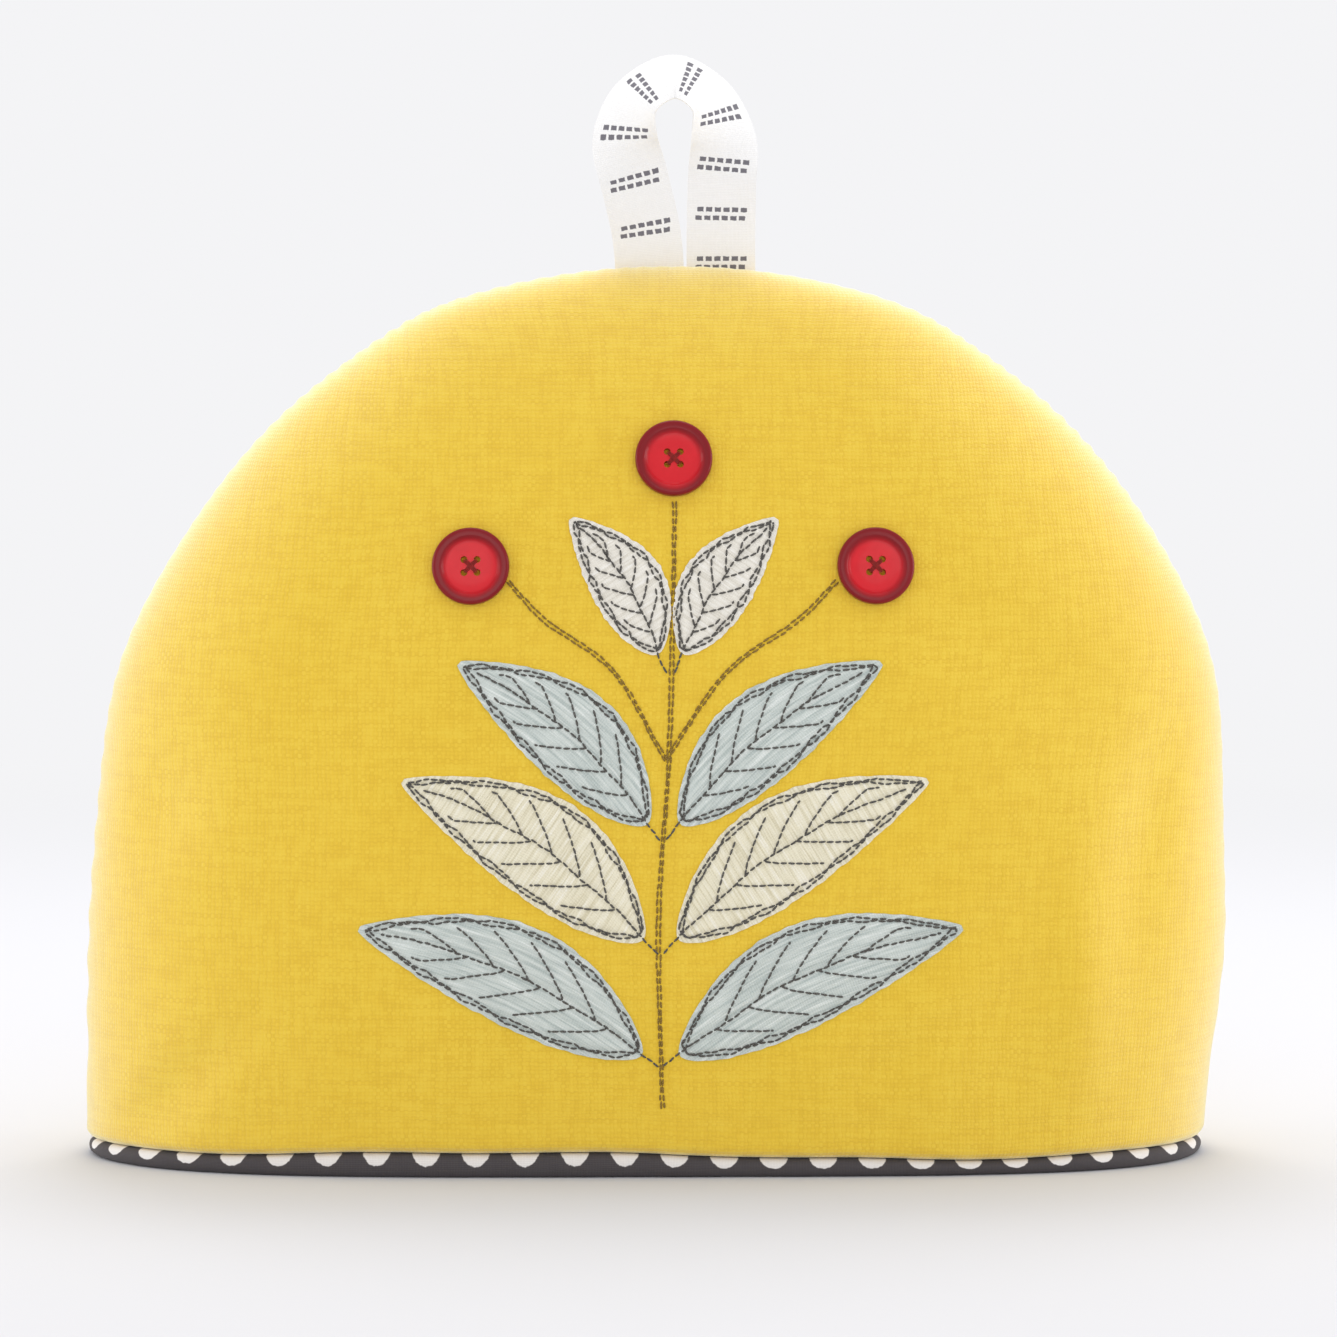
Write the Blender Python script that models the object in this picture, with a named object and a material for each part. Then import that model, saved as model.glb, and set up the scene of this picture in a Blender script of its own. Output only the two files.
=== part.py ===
"""A padded tea cosy, open at the hem and hollow inside, as it stands on a table.

Two padded panels meet in an arched seam. A spotted lining follows them inside, and its lower
edge is rolled out under the padding as a narrow edge that the cosy rests on. A loop of cotton
tape is caught in the top of the seam. The front carries a sprig of cloth leaves, with three
buttons as its berries. Metres, +Z up, the front faces -Y.
"""

import math
from collections import namedtuple

import bmesh
import bpy
from mathutils import Matrix, Vector

# Overall form of the outer face
HALF_WIDTH = 0.172
HALF_DEPTH = 0.056
HEIGHT = 0.2665
SPRING_HEIGHT = 0.012
ARCH_POWER = 3.2
PLAN_POWER = 4.0
SEAM_Y = 0.0017
SEAM_HALF_GAP = 0.00015

# Thickness of the layers, and the clearance between neighbours
PADDING = 0.0070
LINING = 0.0018
CLEARANCE = 0.0003
SHARP_EDGE = math.radians(50)

# The seam: its valley in the outer faces, and the grid that every layer shares
VALLEY_DEPTH = 0.0016
VALLEY_WIDTH = 0.0030
COLUMNS = 26
ROWS = 15
ROW_CROWDING = 1.5

# The hem: the padding's rounded lower edge, and the lining rolled out under it
HEM_ROUND = 0.0030
EDGE_HEIGHT = 0.0058
EDGE_INSET = 0.0008
EDGE_ROUND_TOP = 0.0026
EDGE_ROUND_FOOT = 0.0026
SMALL_ROUND = 0.0010

# Where the arch is cut fuller than its even curve: a share of the width, about a height
Fullness = namedtuple("Fullness", "height spread share")
FULLNESS = (Fullness(0.150, 0.035, 0.025), Fullness(0.258, 0.012, 0.080))

# How the soft cosy has settled: it leans to the right, and its right end tucks in at the hem
LEAN = 0.0040
LEAN_FROM = 0.060
LEAN_TO = 0.200
TUCK = 0.0073
TUCK_HEIGHT = 0.075

# Soft troughs in the front (side -1) and back (side 1); a negative depth is a ridge
Crease = namedtuple("Crease", "side x z half_length half_width tilt_deg depth")
CREASES = (
    Crease(-1, 0.143, 0.104, 0.034, 0.010, 84, 0.0034),
    Crease(-1, 0.126, 0.055, 0.036, 0.011, 94, -0.0026),
    Crease(-1, -0.148, 0.106, 0.018, 0.012, 70, 0.0034),
    Crease(-1, -0.145, 0.022, 0.026, 0.008, 42, 0.0030),
    Crease(-1, -0.096, 0.226, 0.026, 0.014, 38, 0.0024),
    Crease(-1, 0.088, 0.232, 0.028, 0.014, -32, 0.0026),
    Crease(-1, 0.114, 0.142, 0.030, 0.014, -40, 0.0016),
    Crease(1, -0.120, 0.085, 0.036, 0.012, 80, 0.0032),
    Crease(1, 0.110, 0.060, 0.030, 0.012, 100, 0.0028),
    Crease(1, 0.030, 0.200, 0.040, 0.018, 10, 0.0022),
)

# The tape loop: its middle line from end to end, seen from the front
TAPE_WIDTH = 0.0205
TAPE_THICKNESS = 0.0010
TAPE_SIDE_ROOM = 0.0009
TAPE_LEAN_BACK = math.radians(50)
TAPE_LEAN_FROM = 0.291
TAPE_LEAN_TO = 0.322
TAPE_END_HEIGHT = 0.2605
TAPE_LINE = (
    (-0.0026, TAPE_END_HEIGHT),
    (-0.0026, 0.2680),
    (-0.0038, 0.2780),
    (-0.0068, 0.2910),
    (-0.0098, 0.3040),
    (-0.0065, 0.3160),
    (0.0050, 0.3224),
    (0.0160, 0.3160),
    (0.0197, 0.3040),
    (0.0192, 0.2910),
    (0.0189, 0.2760),
    (0.0189, TAPE_END_HEIGHT),
)
TAPE_STEPS = 4

# The sprig: pairs of leaves up the stem, and button berries
Leaf = namedtuple("Leaf", "height angle_deg length width cloth")
LEAF_PAIRS = (
    Leaf(0.034, 66, 0.090, 0.030, "blue_cloth"),
    Leaf(0.067, 57, 0.084, 0.030, "cream_cloth"),
    Leaf(0.100, 50, 0.072, 0.027, "blue_cloth"),
    Leaf(0.148, 34, 0.047, 0.021, "white_cloth"),
)
LEAF_STALK = 0.006
LEAF_BEND = 0.07
LEAF_WIDEST_POWER = 0.85
LEAF_ROUND_POWER = 0.85
LEAF_THICKNESS = 0.0010
LEAF_STEPS_ALONG = 9
LEAF_STEPS_ACROSS = 4
LEAF_TIP_HALF_WIDTH = 0.0008

BERRIES = ((-0.058, 0.178), (0.058, 0.178), (0.0, 0.209))
BUTTON_RADIUS = 0.01125
BUTTON_RIM = 0.0022
BUTTON_EDGE = 0.0008
BUTTON_THICKNESS = 0.0032
BUTTON_WELL_DEPTH = 0.0012
BUTTON_WELL_FLANK = 0.0018
BUTTON_SIDES = 24
BUTTON_SLOPE_REACH = 0.0020
THREAD_HOLE_RADIUS = 0.0011
THREAD_HOLE_OFFSET = 0.0019
THREAD_HOLE_SIDES = 10


def clear_scene():
    for thing in list(bpy.data.objects):
        bpy.data.objects.remove(thing, do_unlink=True)


def material(name, colour, roughness):
    """A plain cloth or plastic material, its colour linear."""
    made = bpy.data.materials.new(name)
    made.use_nodes = True
    shader = made.node_tree.nodes["Principled BSDF"]
    shader.inputs["Base Color"].default_value = (*colour, 1)
    shader.inputs["Roughness"].default_value = roughness
    shader.inputs["Metallic"].default_value = 0
    return made


def finishes():
    return {
        "yellow_cloth": material("yellow_cloth", (0.78, 0.52, 0.06), 0.9),
        "spotted_lining": material("spotted_lining", (0.03, 0.025, 0.03), 0.85),
        "white_tape": material("white_tape", (0.85, 0.84, 0.82), 0.85),
        "blue_cloth": material("blue_cloth", (0.51, 0.56, 0.54), 0.9),
        "cream_cloth": material("cream_cloth", (0.76, 0.70, 0.55), 0.9),
        "white_cloth": material("white_cloth", (0.82, 0.78, 0.68), 0.9),
        "red_button": material("red_button", (0.60, 0.03, 0.04), 0.35),
    }


def add_object(name, bm, finish):
    """Turns a bmesh into a named object with its faces pointing out."""
    bmesh.ops.recalc_face_normals(bm, faces=bm.faces)
    mesh = bpy.data.meshes.new(name)
    bm.to_mesh(mesh)
    bm.free()
    mesh.materials.append(finish)
    mesh.shade_smooth()
    mesh.set_sharp_from_angle(angle=SHARP_EDGE)
    made = bpy.data.objects.new(name, mesh)
    bpy.context.scene.collection.objects.link(made)
    return made


def ease(value, start, end):
    """0 up to start, 1 from end, and a smooth step between."""
    part = min(1.0, max(0.0, (value - start) / (end - start)))
    return part * part * (3 - 2 * part)


def fullness_at(z):
    """Width at a height, as a share of the even arch's."""
    return 1 + sum(f.share * math.exp(-(((z - f.height) / f.spread) ** 2)) for f in FULLNESS)


def settled(point):
    """Moves a point of the even form to where the soft cosy has settled."""
    x, y, z = point
    side = -1 if y < 0 else 1
    pressed = 1.0
    for crease in CREASES:
        if crease.side != side:
            continue
        tilt = math.radians(crease.tilt_deg)
        right, up = x - crease.x, z - crease.z
        along = (right * math.cos(tilt) + up * math.sin(tilt)) / crease.half_length
        across = (up * math.cos(tilt) - right * math.sin(tilt)) / crease.half_width
        pressed -= crease.depth / HALF_DEPTH * math.exp(-along * along - across * across)
    tuck = TUCK * max(0.0, x / HALF_WIDTH) ** 4 * (1 - ease(z, 0, TUCK_HEIGHT))
    lean = LEAN * ease(z, LEAN_FROM, LEAN_TO)
    return Vector((x * fullness_at(z) + lean - tuck, y * pressed + SEAM_Y, z))


def swell_at(across, up):
    """How far the face stands from the seam plane, as a share of the half depth."""
    level = math.sqrt(max(0.0, 1 - up * up))
    share = min(1.0, abs(across) / level) if level > 0 else 0.0
    return level * math.sqrt(1 - share**PLAN_POWER)


def layer_point(across, up, depth, side, height=None):
    """A point of the layer at this depth under the outer face.

    across and up are places in the unit half disc that the dome is mapped from. A height takes
    the place of the dome's own, for the straight wall below the spring line.
    """
    if height is None:
        rise = HEIGHT - SPRING_HEIGHT - depth
        height = SPRING_HEIGHT + rise * up ** (2 / ARCH_POWER)
    x = (HALF_WIDTH - depth) * across
    y = side * ((HALF_DEPTH - depth) * swell_at(across, up) + SEAM_HALF_GAP)
    return settled((x, y, height))


def disc_place(column, row):
    """Maps a place in the square grid to the unit half disc, crowded towards the seam."""
    u = math.sin(math.pi / 2 * (2 * column / COLUMNS - 1))
    v = math.sin(math.pi / 2 * (row / ROWS) ** ROW_CROWDING)
    return u * math.sqrt(1 - v * v / 2), v * math.sqrt(1 - u * u / 2)


def valley_at(across, up):
    """Depth of the seam's valley at a place of the half disc."""
    away = HALF_DEPTH * swell_at(across, up) / VALLEY_WIDTH
    return VALLEY_DEPTH * math.exp(-away * away)


def quarter_round(depth, height, radius, start_deg, steps=3):
    """A quarter circle of (depth, height) places about a centre, from a starting angle."""
    turns = [math.radians(start_deg + 90 * step / steps) for step in range(steps + 1)]
    return [(depth - radius * math.cos(t), height - radius * math.sin(t)) for t in turns]


def padding_hem():
    """The padding's lower edge, from its outer face round to its inner one."""
    foot = EDGE_HEIGHT + CLEARANCE
    outer = quarter_round(HEM_ROUND, foot + HEM_ROUND, HEM_ROUND, 0)
    inner = quarter_round(PADDING - SMALL_ROUND, foot + SMALL_ROUND, SMALL_ROUND, 90, 2)
    return outer + inner


def lining_hem():
    """The lining's lower edge: out under the padding, round, and back along the table."""
    outer_depth = PADDING + CLEARANCE
    inner_depth = outer_depth + LINING
    top_centre = EDGE_INSET + EDGE_ROUND_TOP
    foot_centre = EDGE_INSET + EDGE_ROUND_FOOT
    top = quarter_round(top_centre, EDGE_HEIGHT - EDGE_ROUND_TOP, EDGE_ROUND_TOP, -90)
    foot = quarter_round(foot_centre, EDGE_ROUND_FOOT, EDGE_ROUND_FOOT, 0)
    inner = quarter_round(inner_depth - SMALL_ROUND, SMALL_ROUND, SMALL_ROUND, 90, 2)
    return [(outer_depth, EDGE_HEIGHT)] + top + foot + inner


def layer_grid(bm, depth, side, has_valley):
    """The vertices of one face of a layer, as columns of rows."""
    grid = []
    for column in range(COLUMNS + 1):
        grid.append([])
        for row in range(ROWS + 1):
            across, up = disc_place(column, row)
            sunk = max(depth, valley_at(across, up)) if has_valley else depth
            grid[-1].append(bm.verts.new(layer_point(across, up, sunk, side)))
    return grid


def join_grid(bm, grid):
    for left, right in zip(grid, grid[1:]):
        for row in range(len(left) - 1):
            bm.faces.new((left[row], right[row], right[row + 1], left[row + 1]))


def seam_line(grid):
    """A face's vertices along the seam: up the left, over the top and down the right."""
    return grid[0][:-1] + [column[-1] for column in grid] + grid[-1][-2::-1]


def half_shell(name, side, outer_depth, inner_depth, hem, finish):
    """One closed layer on one side of the seam: two faces, the seam's edge and the hem."""
    bm = bmesh.new()
    outer = layer_grid(bm, outer_depth, side, outer_depth == 0)
    inner = layer_grid(bm, inner_depth, side, False)
    join_grid(bm, outer)
    join_grid(bm, inner)
    join_grid(bm, list(zip(seam_line(outer), seam_line(inner))))

    turned = []
    for column in range(COLUMNS + 1):
        across, _ = disc_place(column, 0)
        valley = valley_at(across, 0)
        middle = [
            bm.verts.new(layer_point(across, 0, max(depth, valley), side, height))
            for depth, height in hem
        ]
        turned.append([outer[column][0]] + middle + [inner[column][0]])
    join_grid(bm, turned)
    bm.faces.new(turned[0])
    bm.faces.new(turned[-1])
    return add_object(name, bm, finish)


def cut_tape_slot(panel, slot):
    """Takes the tape's room out of a panel's seam edge."""
    cut = panel.modifiers.new("tape_slot", "BOOLEAN")
    cut.operation = "DIFFERENCE"
    cut.solver = "EXACT"
    cut.object = slot


def tape_slot():
    """The room that the tape's two ends take in the seam, as a guide block."""
    left = TAPE_LINE[0][0] - TAPE_WIDTH / 2 - TAPE_SIDE_ROOM
    right = TAPE_LINE[-1][0] + TAPE_WIDTH / 2 + TAPE_SIDE_ROOM
    low = TAPE_END_HEIGHT - 2 * CLEARANCE
    high = HEIGHT + PADDING
    bm = bmesh.new()
    bmesh.ops.create_cube(bm, size=1)
    size = (right - left, TAPE_THICKNESS + 2 * CLEARANCE, high - low)
    bmesh.ops.scale(bm, vec=size, verts=bm.verts)
    middle = ((left + right) / 2, SEAM_Y, (low + high) / 2)
    bmesh.ops.translate(bm, vec=middle, verts=bm.verts)
    mesh = bpy.data.meshes.new("tape_slot")
    bm.to_mesh(mesh)
    bm.free()
    slot = bpy.data.objects.new("tape_slot", mesh)
    slot.hide_render = True
    slot.display_type = "WIRE"
    bpy.context.scene.collection.objects.link(slot)
    return slot


def smooth_line(points, steps):
    """A smooth curve through (x, z) points, with this many steps in each stretch."""
    first = 2 * Vector(points[0]) - Vector(points[1])
    last = 2 * Vector(points[-1]) - Vector(points[-2])
    knots = [first, *map(Vector, points), last]
    line = []
    for a, b, c, d in zip(knots, knots[1:], knots[2:], knots[3:]):
        for step in range(steps):
            t = step / steps
            bend = 2 * a - 5 * b + 4 * c - d
            twist = 3 * b - a - 3 * c + d
            line.append(b + (t * (c - a) + t * t * bend + t * t * t * twist) / 2)
    return line + [Vector(points[-1])]


def tape_sections():
    """(middle, outward, face) of the tape at each step of its line, in the seam plane.

    outward is the direction across the tape, away from the loop's eye. It lies in the seam
    plane in the two legs, and leans back where the tape turns over at the top.
    """
    line = smooth_line(TAPE_LINE, TAPE_STEPS)
    sections = []
    for index, (x, z) in enumerate(line):
        before = line[max(0, index - 1)]
        after = line[min(len(line) - 1, index + 1)]
        run = (after - before).normalized()
        along = Vector((run.x, 0, run.y))
        level = Vector((-run.y, 0, run.x))
        lean = TAPE_LEAN_BACK * ease(z, TAPE_LEAN_FROM, TAPE_LEAN_TO)
        outward = level * math.cos(lean) + Vector((0, math.sin(lean), 0))
        face = outward.cross(along).normalized()
        sections.append((Vector((x, SEAM_Y, z)), outward, face))
    return sections


def hanging_loop(finish):
    """The tape, one closed strip from one end in the seam to the other."""
    bm = bmesh.new()
    rings = []
    for middle, outward, face in tape_sections():
        ring = []
        for wide, thick in ((-1, -1), (1, -1), (1, 1), (-1, 1)):
            corner = middle + outward * wide * TAPE_WIDTH / 2 + face * thick * TAPE_THICKNESS / 2
            ring.append(bm.verts.new(corner))
        rings.append(ring + ring[:1])
    join_grid(bm, rings)
    bm.faces.new(rings[0][:-1])
    bm.faces.new(rings[-1][:-1])
    return add_object("hanging_loop", bm, finish)


def front_point(x, z, proud):
    """A point over the front's outer face, at (x, z) of the even form, standing this proud."""
    across = x / (HALF_WIDTH + proud)
    rise = (max(z, SPRING_HEIGHT) - SPRING_HEIGHT) / (HEIGHT - SPRING_HEIGHT + proud)
    up = rise ** (ARCH_POWER / 2)
    return layer_point(across, up, -proud, -1, z)


def leaf_place(leaf, hand, along, across):
    """(x, z) of a place in a leaf: along runs 0 to 1, across runs -1 to 1."""
    swell = 0
    if 0 < along < 1:
        swell = math.sin(math.pi * along**LEAF_WIDEST_POWER) ** LEAF_ROUND_POWER
    half = LEAF_TIP_HALF_WIDTH + (leaf.width / 2 - LEAF_TIP_HALF_WIDTH) * swell
    lean = math.radians(leaf.angle_deg)
    run = LEAF_STALK + leaf.length * along
    offset = half * across + LEAF_BEND * leaf.length * math.sin(math.pi * along)
    x = run * math.sin(lean) - offset * math.cos(lean)
    z = leaf.height + run * math.cos(lean) + offset * math.sin(lean)
    return hand * x, z


def leaf_patch(name, leaf, hand, finish):
    """A leaf of cloth laid on the front: two faces on its curve, and the cut edge."""
    bm = bmesh.new()
    faces = []
    for proud in (CLEARANCE, CLEARANCE + LEAF_THICKNESS):
        grid = []
        for step in range(LEAF_STEPS_ALONG + 1):
            places = [
                leaf_place(leaf, hand, step / LEAF_STEPS_ALONG, 2 * part / LEAF_STEPS_ACROSS - 1)
                for part in range(LEAF_STEPS_ACROSS + 1)
            ]
            grid.append([bm.verts.new(front_point(x, z, proud)) for x, z in places])
        join_grid(bm, grid)
        rim = grid[0][:-1] + [row[-1] for row in grid[:-1]]
        rim += grid[-1][:0:-1] + [row[0] for row in grid[:0:-1]]
        faces.append(rim + rim[:1])
    join_grid(bm, faces)
    return add_object(name, bm, finish)


def button_profile():
    """(radius, height) places of a turned button, from its back's middle to its front's."""
    well = BUTTON_THICKNESS - BUTTON_WELL_DEPTH
    inner_rim = BUTTON_RADIUS - BUTTON_RIM
    return (
        (0, 0),
        (BUTTON_RADIUS - BUTTON_EDGE, 0),
        (BUTTON_RADIUS, BUTTON_EDGE),
        (BUTTON_RADIUS, BUTTON_THICKNESS - BUTTON_EDGE),
        (BUTTON_RADIUS - BUTTON_EDGE, BUTTON_THICKNESS),
        (inner_rim, BUTTON_THICKNESS),
        (inner_rim - BUTTON_WELL_FLANK, well),
        (0, well),
    )


def turned_disc():
    """The button's body about +Z, its back at 0."""
    bm = bmesh.new()
    line = [bm.verts.new((radius, 0, height)) for radius, height in button_profile()]
    edges = [bm.edges.new(pair) for pair in zip(line, line[1:])]
    bmesh.ops.spin(
        bm,
        geom=line + edges,
        cent=(0, 0, 0),
        axis=(0, 0, 1),
        angle=math.tau,
        steps=BUTTON_SIDES,
        use_merge=True,
    )
    bmesh.ops.remove_doubles(bm, verts=bm.verts, dist=1e-6)
    return bm


def thread_hole_pins():
    """Four pins that pierce a button, joined in one guide object."""
    bm = bmesh.new()
    for index in range(4):
        turn = math.tau * (index + 0.5) / 4
        spread = THREAD_HOLE_OFFSET * math.sqrt(2)
        place = (spread * math.cos(turn), spread * math.sin(turn), BUTTON_THICKNESS / 2)
        bmesh.ops.create_cone(
            bm,
            cap_ends=True,
            segments=THREAD_HOLE_SIDES,
            radius1=THREAD_HOLE_RADIUS,
            radius2=THREAD_HOLE_RADIUS,
            depth=2 * BUTTON_THICKNESS,
            matrix=Matrix.Translation(place),
        )
    mesh = bpy.data.meshes.new("thread_hole_pins")
    bm.to_mesh(mesh)
    bm.free()
    pins = bpy.data.objects.new("thread_hole_pins", mesh)
    pins.hide_render = True
    pins.display_type = "WIRE"
    bpy.context.scene.collection.objects.link(pins)
    return pins


def face_direction(x, z):
    """Where the front's outer face looks at a place."""
    reach = BUTTON_SLOPE_REACH
    right = front_point(x + reach, z, 0) - front_point(x - reach, z, 0)
    up = front_point(x, z + reach, 0) - front_point(x, z - reach, 0)
    return right.cross(up).normalized()


def button(name, x, z, finish):
    """A button seated on the front, with its thread holes pierced."""
    made = add_object(name, turned_disc(), finish)
    out = face_direction(x, z)
    level = Vector((1, 0, 0))
    level = (level - out * level.dot(out)).normalized()
    turn = Matrix((level, out.cross(level), out)).transposed().to_4x4()
    seat = Matrix.Translation(front_point(x, z, CLEARANCE)) @ turn
    made.matrix_world = seat
    pins = thread_hole_pins()
    pins.name = name + "_pins"
    pins.matrix_world = seat
    cut = made.modifiers.new("thread_holes", "BOOLEAN")
    cut.operation = "DIFFERENCE"
    cut.solver = "EXACT"
    cut.object = pins
    return made


def build():
    clear_scene()
    finish = finishes()
    slot = tape_slot()
    lining_outer = PADDING + CLEARANCE
    lining_inner = lining_outer + LINING
    for word, side in (("front", -1), ("back", 1)):
        panel = half_shell(
            word + "_panel", side, 0, PADDING, padding_hem(), finish["yellow_cloth"]
        )
        cut_tape_slot(panel, slot)
        half_shell(
            "lining_" + word,
            side,
            lining_outer,
            lining_inner,
            lining_hem(),
            finish["spotted_lining"],
        )
    hanging_loop(finish["white_tape"])
    for pair, leaf in enumerate(LEAF_PAIRS, 1):
        leaf_patch(f"leaf_{pair}_left", leaf, -1, finish[leaf.cloth])
        leaf_patch(f"leaf_{pair}_right", leaf, 1, finish[leaf.cloth])
    for number, (x, z) in enumerate(BERRIES, 1):
        button(f"button_{number}", x, z, finish["red_button"])


build()
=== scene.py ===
# %% [markdown]
# # A padded tea cosy
# A tea cosy is a thick cloth hood that keeps a teapot warm. This one has two padded faces of
# yellow wool that meet in an arched seam, a spotted cotton lining whose lower edge is rolled out
# under the wadding, a loop of cotton tape in the top of the seam, and a sprig sewn on the front
# from scraps of linen, with buttons as its berries.
#
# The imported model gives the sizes. This script puts the cloth, the thread and the finishes on it.

import math
import random
from collections import namedtuple

import bmesh
import bpy
import numpy as np
from mathutils import Matrix, Vector


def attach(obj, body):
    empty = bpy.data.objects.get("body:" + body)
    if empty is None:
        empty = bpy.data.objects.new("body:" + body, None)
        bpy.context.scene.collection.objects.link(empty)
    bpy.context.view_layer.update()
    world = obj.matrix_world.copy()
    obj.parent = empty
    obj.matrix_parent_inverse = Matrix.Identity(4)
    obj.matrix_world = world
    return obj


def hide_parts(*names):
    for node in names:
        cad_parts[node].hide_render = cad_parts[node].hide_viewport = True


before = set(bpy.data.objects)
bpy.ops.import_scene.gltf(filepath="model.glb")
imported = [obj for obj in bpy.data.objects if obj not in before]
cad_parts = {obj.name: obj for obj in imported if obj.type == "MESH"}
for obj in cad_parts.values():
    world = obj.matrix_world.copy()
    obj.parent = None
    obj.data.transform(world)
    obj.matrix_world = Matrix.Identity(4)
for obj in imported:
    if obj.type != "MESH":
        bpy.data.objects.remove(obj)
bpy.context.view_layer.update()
print("nodes:", ", ".join(sorted(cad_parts)))

# %% [markdown]
# ## The form that every layer follows
# The real cosy is cut flat and takes its round form from the wadding. It could be found with a
# cloth simulation, but every layer, patch and stitch has to lie on the same surface, so a
# formula is safer: an arch seen from the front, and from above a long half oval, flat in front
# and rounded at the ends. Creases are soft troughs that press all the layers alike.

# %% Sizes of the form, in metres
HALF_WIDTH = 0.172
HALF_DEPTH = 0.056
HEIGHT = 0.2665
SPRING_HEIGHT = 0.012
ARCH_POWER = 3.2
PLAN_POWER = 4.0
SEAM_Y = 0.0017
SEAM_HALF_GAP = 0.00004
PADDING = 0.0070
LINING = 0.0018
CLEARANCE = 0.0003
EDGE_HEIGHT = 0.0058

Fullness = namedtuple("Fullness", "height spread share")
FULLNESS = (Fullness(0.150, 0.035, 0.025), Fullness(0.258, 0.012, 0.080))
LEAN = 0.0040
LEAN_FROM = 0.060
LEAN_TO = 0.200
TUCK = 0.0073
TUCK_HEIGHT = 0.075

# Soft troughs that run along tilt_deg. One with a depth below 0 is a ridge
Crease = namedtuple("Crease", "side x z half_length half_width tilt_deg depth")
CREASES = (
    Crease(-1, 0.143, 0.104, 0.034, 0.010, 84, 0.0034),
    Crease(-1, 0.126, 0.055, 0.036, 0.011, 94, -0.0026),
    Crease(-1, -0.148, 0.106, 0.018, 0.012, 70, 0.0034),
    Crease(-1, -0.145, 0.022, 0.026, 0.008, 42, 0.0030),
    Crease(-1, -0.096, 0.226, 0.026, 0.014, 38, 0.0024),
    Crease(-1, 0.088, 0.232, 0.028, 0.014, -32, 0.0026),
    Crease(-1, 0.114, 0.142, 0.030, 0.014, -40, 0.0016),
    Crease(1, -0.120, 0.085, 0.036, 0.012, 80, 0.0032),
    Crease(1, 0.110, 0.060, 0.030, 0.012, 100, 0.0028),
    Crease(1, 0.030, 0.200, 0.040, 0.018, 10, 0.0022),
)

# Shallow ripples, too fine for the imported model. Their crests run along tilt_deg
Ripple = namedtuple("Ripple", "side x z reach_x reach_z length tilt_deg height")
RIPPLES = (
    Ripple(-1, 0.062, 0.066, 0.055, 0.035, 0.021, 28, 0.00035),
    Ripple(-1, -0.070, 0.150, 0.075, 0.060, 0.047, 70, 0.00040),
    Ripple(-1, 0.060, 0.160, 0.060, 0.060, 0.040, -60, 0.00035),
    Ripple(-1, 0.010, 0.030, 0.120, 0.022, 0.036, 86, 0.00045),
    Ripple(1, 0.000, 0.120, 0.110, 0.090, 0.043, 64, 0.00050),
    Ripple(1, 0.020, 0.030, 0.120, 0.022, 0.033, 88, 0.00050),
)

# The hem's lower edge rises and falls a little along its length
HemWave = namedtuple("HemWave", "height length shift")
HEM_WAVES = (HemWave(0.0013, 0.300, 0.050), HemWave(0.0003, 0.074, 0.015))
HEM_WAVE_TOP = 0.045


# %% The formula, for whole arrays of points at once
def ease(value, start, end):
    """0 up to start, 1 from end, and a smooth step between."""
    part = np.clip((value - start) / (end - start), 0, 1)
    return part * part * (3 - 2 * part)


def fullness_at(z):
    return 1 + sum(f.share * np.exp(-(((z - f.height) / f.spread) ** 2)) for f in FULLNESS)


def turned(x, z, spot):
    """Distances along and across a spot's own direction."""
    tilt = math.radians(spot.tilt_deg)
    right, up = x - spot.x, z - spot.z
    along = right * math.cos(tilt) + up * math.sin(tilt)
    return along, up * math.cos(tilt) - right * math.sin(tilt)


def settled(x, y, z, side):
    """Moves points of the even form to where the soft cosy has settled."""
    pressed = np.ones(np.shape(x))
    for crease in CREASES:
        if crease.side == side:
            along, across = turned(x, z, crease)
            falloff = (along / crease.half_length) ** 2 + (across / crease.half_width) ** 2
            pressed -= crease.depth / HALF_DEPTH * np.exp(-falloff)
    for ripple in RIPPLES:
        if ripple.side == side:
            falloff = ((x - ripple.x) / ripple.reach_x) ** 2 + ((z - ripple.z) / ripple.reach_z) ** 2
            wave = np.cos(math.tau * turned(x, z, ripple)[1] / ripple.length)
            pressed += ripple.height / HALF_DEPTH * wave * np.exp(-falloff)
    tuck = TUCK * np.maximum(0, x / HALF_WIDTH) ** 4 * (1 - ease(z, 0, TUCK_HEIGHT))
    lean = LEAN * ease(z, LEAN_FROM, LEAN_TO)
    wave = sum(w.height * np.cos(math.tau * (x - side * w.shift) / w.length) for w in HEM_WAVES)
    lift = wave * ease(z, 0, EDGE_HEIGHT) * (1 - ease(z, EDGE_HEIGHT, HEM_WAVE_TOP))
    return np.stack([x * fullness_at(z) + lean - tuck, y * pressed + SEAM_Y, z + lift], -1)


# %% [markdown]
# ## Where the seam opens for the tape
# The two ends of the tape are caught between the panels. The seam is shut elsewhere, so it parts
# by half the tape's thickness over the width of the loop, and closes again on both sides of it.

# %% Points at a depth under the outer face
TAPE_WIDTH = 0.0205
TAPE_SPAN = (-0.0129, 0.0292)
TAPE_FADE = 0.0018
TAPE_SKIN = 0.0007
TAPE_AIR = 0.00005
TAPE_REACH = 0.0050
ROOM_SHUT_BELOW = 0.030
ROOM_OPEN_BELOW = 0.012


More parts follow.
